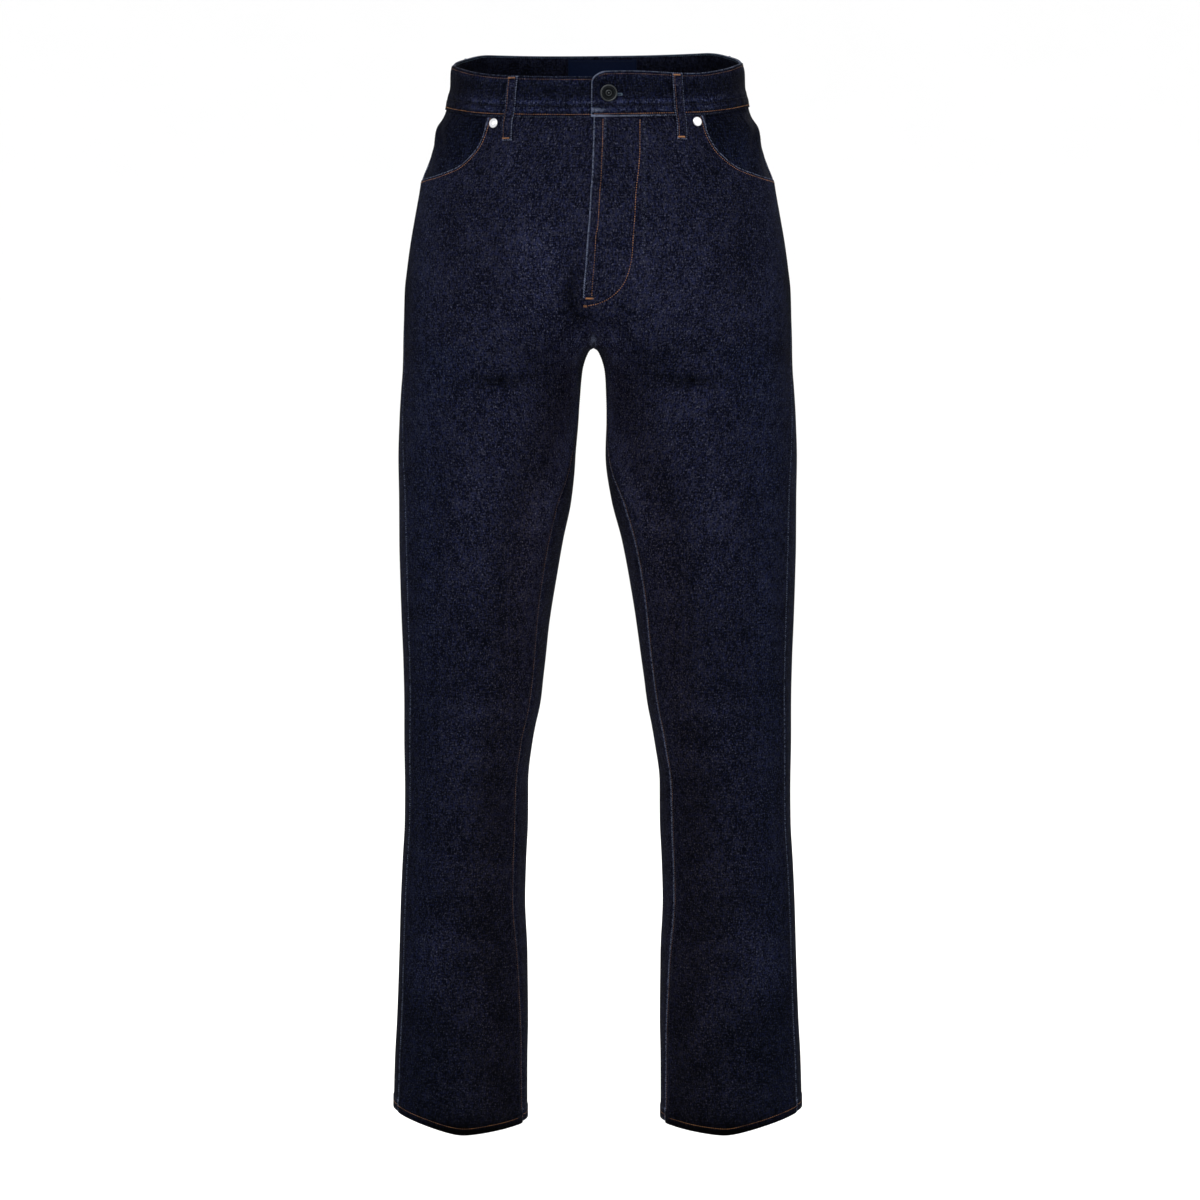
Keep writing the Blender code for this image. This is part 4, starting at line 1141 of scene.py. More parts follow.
class Bench:
    """Holds the form of the cloth and the finishes, and turns grids and seats into pieces of the garment."""

    # What a mesh carries at each point for its finish, and whether it is kept between 0 and 1.
    MASKS = {"wear": True, "fade": False, "warm": False, "pucker": True, "ripple": True}
    RIM_SEGMENTS = 2
    RIM_TURN = 62.0  # in degrees: only sharper edges are rounded
    STITCH_RISE = 0.1  # from the cloth's face to a stitch's middle
    STITCH_FLATNESS = 0.85
    LOOK = 0.6  # how far before and after a stitch its line is read for its direction
    UNEVEN, UNEVEN_TURN = 0.07, 12.99  # how much stitches vary, and how fast from one to the next
    TACK_STEP, TACK_LEAN, TACK_RISE = 0.62, 0.28, 0.1
    THREAD_SEGMENTS, THREAD_RINGS = 6, 4

    def __init__(self, form: JeansForm) -> None:
        """Mixes the finishes and lays out a collection for the pieces.

        Args:
            form: the form of the cloth.
        """
        self.form = form
        self.finishes = {slot: finish.make() for slot, finish in FINISHES.items()}
        self.insides = {finish.name: finish.make() for finish in (INSIDE_DENIM, SHADED_BAND_LINING)}
        self.collection = bpy.data.collections.new("jeans")
        bpy.context.scene.collection.children.link(self.collection)
        self.stitches: dict[tuple[str, Slot], list[Matrix]] = {}

    def add(self, mesh: bpy.types.Mesh, slot: Slot, nodes: tuple[str, ...] = ()) -> bpy.types.Object:
        """Makes a mesh a piece of the garment.

        Args:
            mesh: the finished mesh, whose name the piece takes.
            slot: its finish.
            nodes: the solids that it stands for.

        Returns:
            The piece.
        """
        mesh.materials.append(self.finishes[slot])
        piece = bpy.data.objects.new(mesh.name, mesh)
        self.collection.objects.link(piece)
        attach(piece, BODY)
        if nodes:
            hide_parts(*nodes)
        LOG.info("%s: %d faces", piece.name, len(mesh.polygons))
        return piece

    def cloth_mesh(self, name: str, grid: Grid, points: Array) -> bpy.types.Mesh:
        """A mesh for a grid of places, facing outwards.

        Args:
            name: the mesh's name.
            grid: the places.
            points: their positions in millimetres.

        Returns:
            The mesh, with its "cloth" map and masks.
        """
        rows, columns = points.shape[:2]
        bm = bmesh.new()
        bmesh.ops.create_grid(bm, x_segments=columns - 1, y_segments=rows - 1, size=1.0)
        for vert, point in zip(bm.verts, points.reshape(-1, 3) * MM):
            vert.co = point
        if grid.half is Half.LEFT:
            bmesh.ops.reverse_faces(bm, faces=bm.faces[:])
        mesh = bpy.data.meshes.new(name)
        bm.to_mesh(mesh)
        bm.free()
        corners = np.empty(len(mesh.loops), int)
        mesh.loops.foreach_get("vertex_index", corners)
        weave = np.stack([grid.across.ravel(), grid.level.ravel()], -1)[corners] * MM
        mesh.uv_layers.new(name="cloth").uv.foreach_set("vector", weave.ravel())
        for mask, kept in self.MASKS.items():
            values = np.broadcast_to(grid.masks.get(mask, 0.0), grid.along.shape)
            values = np.clip(values, 0, 1) if kept else values
            layer = mesh.attributes.new(mask, "FLOAT", "POINT")
            layer.data.foreach_set("value", np.ascontiguousarray(values, float).ravel())
        mesh.shade_smooth()
        return mesh

    def cloth(
        self,
        name: str,
        grid: Grid,
        wall: float,
        node: str,
        hangs_from: tuple[str, ...] = ("waistband_cloth",),
        slot: Slot = Slot.DENIM,
        inside: DenimFinish | None = None,
        rim: float = 0.35,
        points: Array | None = None,
    ) -> None:
        """Makes a piece of cloth with its wall inside its outer face.

        Args:
            name: the piece's name.
            grid: its places.
            wall: its thickness.
            node: the solid that it stands for.
            hangs_from: what it is sewn to; not used.
            slot: its finish.
            inside: the finish of its other face, where that differs.
            rim: radius of its rounded rim.
            points: its positions, where they aren't the form's own.
        """
        if points is None:
            points = self.form.place(grid.half, grid.along, grid.level, grid.out)
        piece = self.add(self.cloth_mesh(name, grid, points), slot, (node,))
        shell = piece.modifiers.new("wall", "SOLIDIFY")
        shell.thickness = wall * MM
        shell.offset = -1
        if inside:
            piece.data.materials.append(self.insides[inside.name])
            shell.material_offset = 1
        edge = piece.modifiers.new("rim", "BEVEL")
        edge.width = rim * MM
        edge.segments = self.RIM_SEGMENTS
        edge.limit_method = "ANGLE"
        edge.angle_limit = math.radians(self.RIM_TURN)

    # -------------------------------------------------------- stitches
    def sew(
        self,
        piece: str,
        slot: Slot,
        half: Half,
        along: Array,
        level: Array,
        out: Array | float,
        stitch: Stitch = Stitch(),
    ) -> None:
        """Sews a row of stitches along a line on the cloth.

        Args:
            piece: the name of the piece that the stitches are gathered in.
            slot: the thread's finish.
            half: the half that the line's lengths are measured on.
            along: the line's lengths.
            level: its levels.
            out: height of the cloth's face under it.
            stitch: the stitches' size.
        """
        along, level, out = np.broadcast_arrays(*(np.asarray(a, float) for a in (along, level, out)))
        points = self.form.place(half, along, level, out + self.STITCH_RISE)
        normals = self.form.facing(half, along, level)
        run = run_of(*points.T)
        count = max(1, round(run[-1] / (stitch.length + stitch.gap)))
        middles = (np.arange(count) + 0.5) * run[-1] / count
        spots, ahead, behind, up = (
            np.stack([np.interp(middles + shift, run, source[:, axis]) for axis in range(3)], -1)
            for source, shift in ((points, 0.0), (points, self.LOOK), (points, -self.LOOK), (normals, 0.0))
        )
        length = min(stitch.length, run[-1] / count - stitch.gap / 2)
        seats = self.stitches.setdefault((piece, slot), [])
        for index, (spot, way, normal) in enumerate(zip(spots, ahead - behind, up)):
            uneven = self.UNEVEN * math.sin(index * self.UNEVEN_TURN)
            seats.append(self.seat(spot, way, normal, length * (1 + uneven), stitch.radius, uneven))

    def seat(
        self, spot: Array, way: Array, normal: Array, length: float, radius: float, aside: float
    ) -> Matrix:
        """Where one stitch lies.

        Args:
            spot: its middle, in millimetres.
            way: the direction that it is sewn in.
            normal: the way out of the cloth.
            length: its length.
            radius: its radius.
            aside: how far it strays from its line.

        Returns:
            A matrix that takes a unit ball to the stitch.
        """
        z = Vector(way).normalized()
        x = z.cross(Vector(normal)).normalized()
        y = z.cross(x)
        spot = Vector(spot) + x * aside
        columns = (x * radius, y * radius * self.STITCH_FLATNESS, z * length / 2, spot)
        turned = Matrix([[column[axis] * MM for column in columns] for axis in range(3)])
        return turned.to_4x4()

    def bar_tack(
        self, piece: str, half: Half, spot: Point, wide: float, high: float, upright: bool = False
    ) -> None:
        """Sews a bar of close stitches.

        Args:
            piece: the name of the piece that the stitches are gathered in.
            half: the half that its place is measured on.
            spot: its middle's length and level, and the height of the cloth's face under it.
            wide: its length.
            high: its width, the length of its stitches.
            upright: whether the bar runs up and down.
        """
        along, level, out = spot[0], spot[1], spot[2] + self.TACK_RISE
        ends = np.array([-0.5, 0.5]) * high
        for index, at in enumerate(np.arange(-wide / 2, wide / 2 + 0.01, self.TACK_STEP)):
            beside = at + np.array([-1, 1]) * self.TACK_LEAN * (-1) ** index
            row = (ends, beside) if upright else (beside, ends)
            self.sew(piece, Slot.ORANGE, half, along + row[0], level + row[1], out, Stitch(high, 0))

    def finish_stitches(self) -> None:
        """Makes the gathered stitches into pieces, one for each name and thread."""
        tilts = [math.pi * ring / self.THREAD_RINGS for ring in range(self.THREAD_RINGS + 1)]
        ball = [(math.sin(tilt), math.cos(tilt)) for tilt in tilts]
        one = lathe("stitch", ball, self.THREAD_SEGMENTS, math.pi / 2)
        rest = np.empty(len(one.vertices) * 3, np.float32)
        one.vertices.foreach_get("co", rest)
        for (name, slot), seats in self.stitches.items():
            gathered = bmesh.new()
            for seat in seats:
                one.transform(seat)
                gathered.from_mesh(one)
                one.vertices.foreach_set("co", rest)
            mesh = bpy.data.meshes.new(name)
            gathered.to_mesh(mesh)
            gathered.free()
            mesh.shade_smooth()
            self.add(mesh, slot)
        bpy.data.meshes.remove(one)


# ---------------------------------------------------------------- shared cutting rules
EDGE_STEPS = np.array([0.0, 0.8, 2.0, 4.0, 7.0])
EDGE_REACH = 11.0
TOP_ZONE = -140.0
BOTTOM_ZONE = -1040.0
CROTCH_LEVELS = (-285, -287, -289, -290.5, -292, -293.5, -295, -296.5, -298, -300, -302, -305)
LEVEL_STEP = 4.0
FAR = 99.0  # the distance given to places that an edge doesn't reach
UNDER_BAND = -0.15  # height of the cloth that runs up inside the waistband
ROLLED = (0.9, 1.2)  # depth and half width of a folded edge's roll
TUCKED = (0.5, 1.0)  # the same where the edge runs on under another
SEAM_ROWS = (2.6, 9.0)  # from a felled seam's edge to its two rows of stitches


def dent(distance: Array | float, depth: float, width: float = 0.9) -> Array:
    """A trough, such as a row of stitches pulls in."""
    return -depth * bump(distance, width)


def felled(over: Array | float) -> Array:
    """Height of a seam's doubled cloth, by the distance from the seam's edge."""
    rows = sum(dent(over - row, 0.2) for row in SEAM_ROWS)
    return 0.5 * step_down((over - 10) / 3) + dent(over, *ROLLED) + rows


def spread(first: Array, last: Array, steady: Array, count: int) -> Array:
    """Columns across a panel, closer together along its two edges.

    Args:
        first: where each row begins.
        last: where each row ends.
        steady: a length that changes slowly from row to row, which most columns keep to.
        count: how many columns lie between the edges' own.

    Returns:
        Lengths, with a row for each row given.
    """
    share = 1 - np.linspace(0, 1, count)
    room, even = last - first - 2 * EDGE_REACH, steady - 2 * EDGE_REACH
    inner = last[:, None] - EDGE_REACH - (even[:, None] * share + (room - even)[:, None] * share**3)
    return np.concatenate([first[:, None] + EDGE_STEPS, inner, last[:, None] - EDGE_STEPS[::-1]], 1)


def panel_levels() -> Array:
    """Levels of a leg panel's rows between its top and its hem.

    Returns:
        The levels, closer together round the crotch.
    """
    upper = np.arange(TOP_ZONE - LEVEL_STEP, CROTCH_LEVELS[0] + 1, -LEVEL_STEP)
    lower = np.arange(CROTCH_LEVELS[-1] - LEVEL_STEP, BOTTOM_ZONE - 0.1, -LEVEL_STEP)
    return np.concatenate([upper, CROTCH_LEVELS, lower])


def stack_rows(rows: list[tuple[Array, float]]) -> tuple[Array, Array]:
    """The levels and the heights of rows of (levels, one height)."""
    return np.array([level for level, _ in rows]), np.array([np.full(len(level), out) for level, out in rows])


@dataclass(frozen=True)
class PocketMouth:
    """The scooped mouth of a front pocket, cut out of the front panel from waist seam to side seam."""

    start: float  # along the waist seam, from the centre front
    end_level: float = -121.5
    steep: float = 46.0
    flat: float = 100.0
    slant: float = 12.0

    def line(self, form: JeansForm, half: Half) -> tuple[Array, Array]:
        """The mouth's curve.

        Args:
            form: the form of the cloth.
            half: the pocket's half.

        Returns:
            (along, level) at points of the curve.
        """
        top = form.seam_level(half, self.start)[0] - form.half_seam
        end = float(form.front_length(half, self.end_level)) - form.half_seam
        t = np.linspace(0, 1, 121)
        weights = ((1 - t) ** 3, 3 * t * (1 - t) ** 2, 3 * t**2 * (1 - t), t**3)
        pulls_along = (self.start, self.start + self.slant, end - self.flat, end)
        pulls_level = (top, top - self.steep, self.end_level, self.end_level)
        along = sum(w * a for w, a in zip(weights, pulls_along))
        return along, sum(w * z for w, z in zip(weights, pulls_level))


MOUTHS = {Half.LEFT: PocketMouth(108.0), Half.RIGHT: PocketMouth(113.0)}


@dataclass
class Part:
    """A part of the garment, made on the bench."""

    bench: Bench

    @property
    def form(self) -> JeansForm:
        """The form of the cloth."""
        return self.bench.form


@dataclass
class HalfPart(Part):
    """A part that lies on one half of the garment."""

    half: Half

    def mouth_line(self) -> tuple[Array, Array]:
        """(along, level) at points of the mouth of this half's front pocket."""
        return MOUTHS[self.half].line(self.form, self.half)

    def grid(self, along: Array, level: Array, out: Array) -> Grid:
        """Places whose warp hangs from the side seam, with the tone and the painted light and shade that the
        cloth has there.

        Args:
            along: lengths.
            level: levels.
            out: heights over the form.

        Returns:
            The grid.
        """
        grid = Grid(self.half, along, level, out, along - self.form.front_length(self.half, level))
        grid.masks["fade"] = self.form.tones(self.half, along, level)
        grid.masks["warm"] = self.form.warmth(self.half, along, level)
        return grid

    def sew_row(
        self,
        piece: str,
        slot: Slot,
        along: Array,
        level: Array,
        out: Array | float,
        stitch: Stitch = Stitch(),
    ) -> None:
        """Sews a row of stitches on this half.

        Args:
            piece: the name of the piece that the stitches are gathered in.
            slot: the thread's finish.
            along: the line's lengths.
            level: its levels.
            out: height of the cloth's face under it.
            stitch: the stitches' size.
        """
        self.bench.sew(piece, slot, self.half, along, level, out, stitch)


# ---------------------------------------------------------------- legs
@dataclass(frozen=True)
class Hem:
    """The turned up hem of a leg. Heights are over the hem's edge."""

    depth: float = 12.5
    proud: float = 0.7
    fold: float = 1.15  # radius of the fold
    stitch_height: float = 7.5
    stitch: Stitch = Stitch(radius=0.27)
    heights: tuple[float, ...] = (17.0, 15.0, 14.0, 13.2, 12.5, 11.0, 9.2, 8.3, 7.5, 6.7, 5.6, 3.6, 2.2)
    inside: tuple[float, ...] = (3.0, 6.0, 9.0, 12.0)

    def lift(self, height: float) -> float:
        """How far the cloth stands out at a height."""
        fall = float(step_down((height - self.depth) / 2.4))
        return self.proud * fall + float(dent(height - self.stitch_height, 0.22, 1.1))


@dataclass
class Leg(HalfPart):
    """A leg panel with its hem."""

    wall: float = field(default=1.1, kw_only=True)
    hem: Hem = field(default=Hem(), kw_only=True)

    def hem_rows(self, share: Array) -> tuple[Array, Array, Array, Array]:
        """Rows from the last level row down, round the fold and up the inside.

        Args:
            share: the place of each column.

        Returns:
            (along, level, out, height over the hem's edge), each with a row for each row of places.
        """
        hem, edge = self.hem, self.form.hem_edge(self.half, share)
        high = edge + hem.heights[0] + 2
        rows = [(BOTTOM_ZONE + (high - BOTTOM_ZONE) * part, 0.0) for part in np.linspace(0, 1, 12)[1:]]
        rows += [(edge + height, hem.lift(height)) for height in hem.heights]
        for turn in np.radians(range(0, 181, 30)):
            out = hem.proud - hem.fold * (1 - math.cos(turn))
            rows.append((edge + hem.fold * (1 - math.sin(turn)), out))
        rows += [(edge + height, hem.proud - 2 * hem.fold) for height in hem.inside]
        level, out = stack_rows(rows)
        return self.form.along_of(self.half, share + 0 * level, level), level, out, level - edge

    def sew_hem(self, start: float, end: float) -> None:
        """Sews the hem's row.

        Args:
            start: the share where it begins.
            end: the share where it ends.
        """
        share, height = np.linspace(start, end, 160), self.hem.stitch_height
        level = self.form.hem_edge(self.half, share) + height
        along = self.form.along_of(self.half, share, level)
        piece = f"hem_stitches_{self.half.word}"
        self.sew_row(piece, Slot.ORANGE, along, level, self.hem.lift(height), self.hem.stitch)


@dataclass
class FrontLeg(Leg):
    """A front leg panel from the waistband to the hem, with the pocket's mouth scooped out of it.

    The wearer's left front laps over the right one at the fly.
    """

    waist_columns: int = 26
    mouth_columns: int = 32
    top_rows: int = 18
    fly_proud: float = 1.9
    fly_underlap: float = 9.0
    fly_width: float = 42.0
    fly_fade: tuple[float, float] = (-272.0, -256.0)
    fly_row: float = 8.7  # from the fly's edge to its straight row of stitches
    fly_row_levels: tuple[float, float] = (-65.0, -240.0)
    fly_stitch: Stitch = Stitch(radius=0.42)
    seam_row: float = 2.6
    second_row: float = 5.8
    mouth_row: float = 2.6

    # The fly's curved row of stitches, as (level, length from the centre front).
    FLY_CURVE = (
        (-65, 42.0), (-99, 41.7), (-130, 38.9), (-168, 36.9), (-199.5, 35.1), (-222.5, 29.8), (-237, 20.2),
        (-245.2, 8.0), (-250, -10.0),
    )
    # The tacks at the fly's foot, as (length from the centre front, level, width, height).
    FLY_TACKS = ((-6.0, -242.0, 7.6, 2.2), (-9.8, -250.0, 3.6, 3.2))
    FLY_FOOT = (-7.0, -250.0)  # where the height under the tacks is read
    INSEAM_TOP, INSEAM_END = -299.0, 2.5  # the rows' top level, and how far they run past the hem's level
    # The rows above the edge, as (rise inside the waistband, turn behind the mouth, height of the turn).
    TURNED_EDGE = ((5.5, -3.0, -1.95), (4.0, 0.0, -1.9), (2.5, 0.4, -1.0), (1.0, 0.25, -0.3))

    def first(self, level: Array) -> Array:
        """Where the panel begins.

        Args:
            level: levels.

        Returns:
            The length at each level.
        """
        lapped = -self.fly_underlap
        if self.half is Half.LEFT:
            lapped = self.form.FLY_EDGE.at("along", level)
        return np.where(level > self.form.CROTCH, lapped, self.form.half_seam)

    def last(self, level: Array) -> Array:
        """Where the panel ends at each level."""
        return self.form.front_length(self.half, level) - self.form.half_seam

    def across(self, level: Array) -> Array:
        """The panel's columns.

        Args:
            level: levels.

        Returns:
            Lengths, with a row for each level.
        """
        steady = self.form.steady_lengths(self.half, level)[0]
        count = self.waist_columns + self.mouth_columns + 1
        return spread(self.first(level), self.last(level), steady, count)

    def height(self, along: Array, level: Array) -> Array:
        """How far the panel stands out from the form.

        Args:
            along: lengths.
            level: levels.

        Returns:
            The heights.
        """
        open_part = level > self.form.CROTCH
        from_first, to_last = along - self.first(level), self.last(level) - along
        ridge = 0.45 * step_down((from_first - 8) / 4) + dent(from_first, *ROLLED)
        ridge += dent(from_first - self.seam_row, 0.22) + dent(from_first - self.second_row, 0.12)
        out = dent(to_last, *ROLLED) + np.where(open_part, 0, ridge)
        down = np.clip((level - self.fly_fade[0]) / (self.fly_fade[1] - self.fly_fade[0]), 0, 1)
        if self.half is Half.LEFT:
            sideways = np.clip((self.fly_width - along) / (self.fly_width - self.fly_underlap - 4), 0, 1)
            lap = self.fly_proud * sideways**0.7 * down + dent(from_first, 0.7, 1.0)
            lap += dent(from_first - self.fly_row, 0.25) * (level > self.FLY_TACKS[0][1])
            return out + np.where(open_part, lap, 0)
        under = step_up((-self.form.FLY_EDGE.at("along", level) - along) / 1.2)
        return out - np.where(open_part, 1.75 * (1 - down) * under, 0)

    def top_line(self) -> tuple[Array, Array, Array]:
        """The panel's top edge: the waist seam, and then the pocket's mouth.

        Returns:
            (along, level, part) of each column; part is 0 on the waist seam and 1 on the mouth.
        """
        form = self.form
        start = float(self.first(form.seam_level(self.half, 0))[0])
        inner = np.linspace(start + EDGE_REACH, MOUTHS[self.half].start, self.waist_columns + 1)
        along = np.concatenate([start + EDGE_STEPS, inner])
        _, level = form.meet_seam(self.half, lambda _: along)
        level = level - form.half_seam
        mouth = self.mouth_line()
        run = run_of(*mouth)
        stops = np.linspace(0, run[-1] - EDGE_REACH, self.mouth_columns + 1)[1:]
        stops = np.concatenate([stops, run[-1] - EDGE_STEPS[::-1]])
        part = np.concatenate([np.zeros(len(along)), np.clip(np.arange(1, len(stops) + 1) / 4, 0, 1)])
        along = np.concatenate([along, np.interp(stops, run, mouth[0])])
        return along, np.concatenate([level, np.interp(stops, run, mouth[1])]), part

    def top(self) -> tuple[Array, Array, Array]:
        """Rows of the panel's top: inside the waistband, round the mouth's turned edge, and down to TOP_ZONE.

        Returns:
            (along, level, out) with a row for each row of places.
        """
        edge_along, edge_level, part = self.top_line()
        kernel = np.bartlett(11)[1:-1] / np.bartlett(11).sum()
        ways = [
            np.convolve(np.pad(way, 4, mode="edge"), kernel, mode="valid")
            for way in (-np.gradient(edge_level), np.gradient(edge_along))
        ]
        way_along, way_level = np.array(ways) / np.hypot(*ways)
        offsets = [(up + (turned - up) * part, out) for up, turned, out in self.TURNED_EDGE]
        rows = [
            (edge_along + way_along * by, edge_level + way_level * by, UNDER_BAND + (out - UNDER_BAND) * part)
            for by, out in offsets
        ]
        rows += [(edge_along - way_along * by, edge_level - way_level * by, 0 * part) for by in EDGE_STEPS]
        low = self.across(np.array([TOP_ZONE]))[0]
        high_along, high_level, _ = rows[-1]
        for share in np.linspace(0, 1, self.top_rows + 1)[1:]:
            along = high_along + (low - high_along) * share
            rows.append((along, high_level + (TOP_ZONE - high_level) * share, 0 * part))
        along, level, out = (np.array(columns) for columns in zip(*rows))
        edges = len(EDGE_STEPS)
        along[:, :edges] = self.first(level[:, :edges]) + EDGE_STEPS
        along[:, -edges:] = self.last(level[:, -edges:]) - EDGE_STEPS[::-1]
        return along, level, out

    def masks(self, along: Array, level: Array, over_hem: Array) -> dict[str, Array]:
        """What the finish reads along the panel's edges.

        Args:
            along: lengths.
            level: levels.
            over_hem: each place's height over the hem's edge.

        Returns:
            The masks for wear, ripples and puckers.
        """
        from_first, to_last = along - self.first(level), self.last(level) - along
        turned = len(self.TURNED_EDGE)
        high = slice(0, turned + len(EDGE_STEPS) + self.top_rows)
        to_mouth = np.full(along.shape, FAR)
        to_mouth[high] = nearest((along[high], level[high]), self.mouth_line())
        below_band = self.form.seam_level(self.half, along[turned])[None, :] - level
        open_part = level > self.form.CROTCH
        wear = 0.55 * bump(to_mouth, 0.9) + 0.12 * bump(to_mouth - 5.0, 1.5)
        wear += 0.36 * bump(to_last, 1.3) * (0.5 + 0.5 * step_up((level + 1000) / 400))
        wear += 0.12 * bump(over_hem, 1.6) + 0.06 * bump(over_hem - 13.0, 1.2)
        wear += 0.68 * bump(level + 282.5 + 1.1 * np.abs(along), 3.2) * bump(along, 9)  # above the fork
        wear += np.where(open_part, 0, 0.26 * bump(from_first, 1.4) + 0.16 * bump(from_first - 9.5, 1.6))
        ripple = np.where(open_part, 0, 0.8 * bump(from_first - 6, 9)) + 0.6 * bump(to_last - 3, 8)
        if self.half is Half.LEFT:
            second = (0.08 + 0.14 * step_up((level + 130) / 60)) * step_up((level + 240) / 120)
            fly = 0.74 * bump(from_first, 1.1) + 0.14 * bump(from_first - 5.0, 2.4)
            fly += second * bump(from_first - 11.2, 0.9)
            fly += 0.16 * bump(along - 47, 3.0) * step_up((level + 225) / 30)
            wear += np.where(open_part, fly * step_up((level + 246) / 8), 0)
            ripple += np.where(open_part, 0.55 * bump(from_first - 5, 5) + 0.5 * bump(along - 42, 8), 0)
        pucker = 0.55 * bump(below_band, 20) + 0.7 * bump(over_hem - 7, 9) + 0.4 * bump(to_mouth, 7)
        return {"wear": wear, "ripple": ripple, "pucker": pucker}

    def sew(self) -> None:
        """Sews the inseam, the hem, the pocket's mouth and, on the wearer's left, the fly."""
        word = self.half.word
        level = np.linspace(self.INSEAM_TOP, self.form.HEM - self.INSEAM_END, 300)
        for place, slot in ((self.seam_row, Slot.RUST), (self.second_row, Slot.NAVY)):
            along = np.full_like(level, self.form.half_seam + place)
            piece = f"inseam_stitches_{word}_{slot.name.lower()}"
            self.sew_row(piece, slot, along, level, self.height(along, level))
        self.sew_hem(0.0, 1.0)
        along, level = self.mouth_line()
        way = np.stack([np.gradient(level), -np.gradient(along)])
        way *= self.mouth_row / np.hypot(*way)
        self.sew_row(f"pocket_stitches_{word}", Slot.ORANGE, along + way[0], level + way[1], 0.0)
        if self.half is Half.LEFT:
            self.sew_fly()

    def sew_fly(self) -> None:
        """Sews the fly's straight row, its curved row and the tacks at its foot."""
        level = np.linspace(*self.fly_row_levels, 90)
        straight = (self.form.FLY_EDGE.at("along", level) + self.fly_row, level)
        levels, lengths = np.array(self.FLY_CURVE).T
        run = run_of(levels, lengths)
        fine = np.linspace(0, run[-1], 200)
        curve = Columns("run level along", *zip(run, levels, lengths))
        for along, level in (straight, (curve.at("along", fine), curve.at("level", fine))):
            height = self.height(along, level)
            self.sew_row("fly_stitches", Slot.ORANGE, along, level, height, self.fly_stitch)
        foot = self.height(*np.array(self.FLY_FOOT)[:, None])[0]
        for along, level, wide, high in self.FLY_TACKS:
            self.bench.bar_tack("fly_tacks", self.half, (along, level, foot), wide, high)

    def make(self) -> None:
        """Makes the panel and its stitches."""
        levels = panel_levels()
        sides = self.across(levels)
        share = np.clip(sides[-1] / self.form.front_length(self.half, BOTTOM_ZONE), 0, 1)
        hem_along, hem_level, hem_out, hem_height = self.hem_rows(share)
        top_along, top_level, top_out = self.top()
        along = np.concatenate([top_along, sides, hem_along])
        level = np.concatenate([top_level, levels[:, None] + 0 * sides, hem_level])
        out = np.concatenate([top_out, 0 * sides, hem_out]) + self.height(along, level)
        over_hem = np.full(along.shape, FAR)
        over_hem[-len(hem_height) :] = hem_height
        grid = self.grid(along, level, out)
        grid.masks |= self.masks(along, level, over_hem)
        word = self.half.word
        self.bench.cloth(f"front_leg_{word}", grid, self.wall, f"front_{word}", inside=INSIDE_DENIM)
        self.sew()


@dataclass
class PocketFacing(HalfPart):
    """The denim facing behind a front pocket's mouth, which runs from under the front to the side seam."""

    wall: float = 1.1
    depth: float = 2.65
    flat: float = 5.0
    slope: float = 26.0
    margin: float = 14.0
    top_level: float = -48.0
    rows: int = 30
    columns: int = 34
    # The facing's own slack: soft folds that run down from the waistband towards the side.
    slack: tuple[Crease, ...] = crease_table(
        (0.80, -78, 5, 26, -34, -1.2), (0.86, -82, 5, 24, -36, 1.0), (0.92, -92, 5, 22, -30, -1.1),
        (0.74, -74, 4, 18, -22, 0.8), (0.88, -106, 14, 5, 10, -0.8),
    )

    def sunk(self, along: Array, level: Array) -> Array:
        """How deep the facing lies: full under the front, and none where it joins the seams.

        Args:
            along: lengths.
            level: levels.

        Returns:
            The depths.
        """
        mouth = self.mouth_line()
        inside = (along < mouth[0][0]) | (level < np.interp(along, *mouth))
        away = np.where(inside, 0, nearest((along, level), mouth))
        return self.depth * ease((away - self.flat) / self.slope)

    def make(self) -> None:
        """Makes the facing."""
        form, half, mouth = self.form, self.half, self.mouth_line()
        share = np.linspace(0, 1, self.columns)
        first = mouth[0][0] - self.margin
        high_along = first + (float(form.front_length(half, self.top_level)) - 1 - first) * share
        high_level = form.meet_seam(half, lambda _: high_along)[1] + 5
        low_along = first + (float(form.front_length(half, MOUTHS[half].end_level)) - first) * share
        low_level = np.interp(low_along, *mouth) - self.margin
        level = high_level + (low_level - high_level) * np.linspace(0, 1, self.rows)[:, None]
        last = form.front_length(half, level) - form.half_seam
        along = first + (last - first) * share
        to_last = last - along
        under = form.seam_level(half, np.clip(along[0], 0, None))[None, :] - level
        out = form.patches(self.slack, half, along, level) - self.sunk(along, level) + dent(to_last, *ROLLED)
        grid = self.grid(along, level, np.where(under < 0, np.minimum(out, UNDER_BAND), out))
        # Painted shade: the facing is painted darker where it lies sunk behind the mouth, and darker still
        # close under the waistband.
        grid.masks["fade"] += 0.28 * step_up((under - 12) / 45) - 0.64
        grid.masks |= {
            "wear": 0.42 * bump(to_last, 1.3),
            "ripple": 0.6 * bump(to_last - 3, 8),
            "pucker": 0.6 * bump(under, 14),
            "warm": -1.0,
        }
        name, node = f"pocket_facing_cloth_{half.word}", f"pocket_facing_{half.word}"
        self.bench.cloth(name, grid, self.wall, node, ("waistband_cloth", f"back_leg_{half.word}"))


# ---------------------------------------------------------------- back
# Three columns run on past a tucked or a lapping edge, as their distances from it and their heights.
TUCK_STEPS, TUCK_HEIGHTS = np.array([8.0, 1.0, 0.2]), np.array([-1.75, -1.7, -0.9])
LAP_STEPS, LAP_HEIGHTS = np.array([0.12, 0.25, 0.3]), np.array([-0.9, -1.1, -1.4])


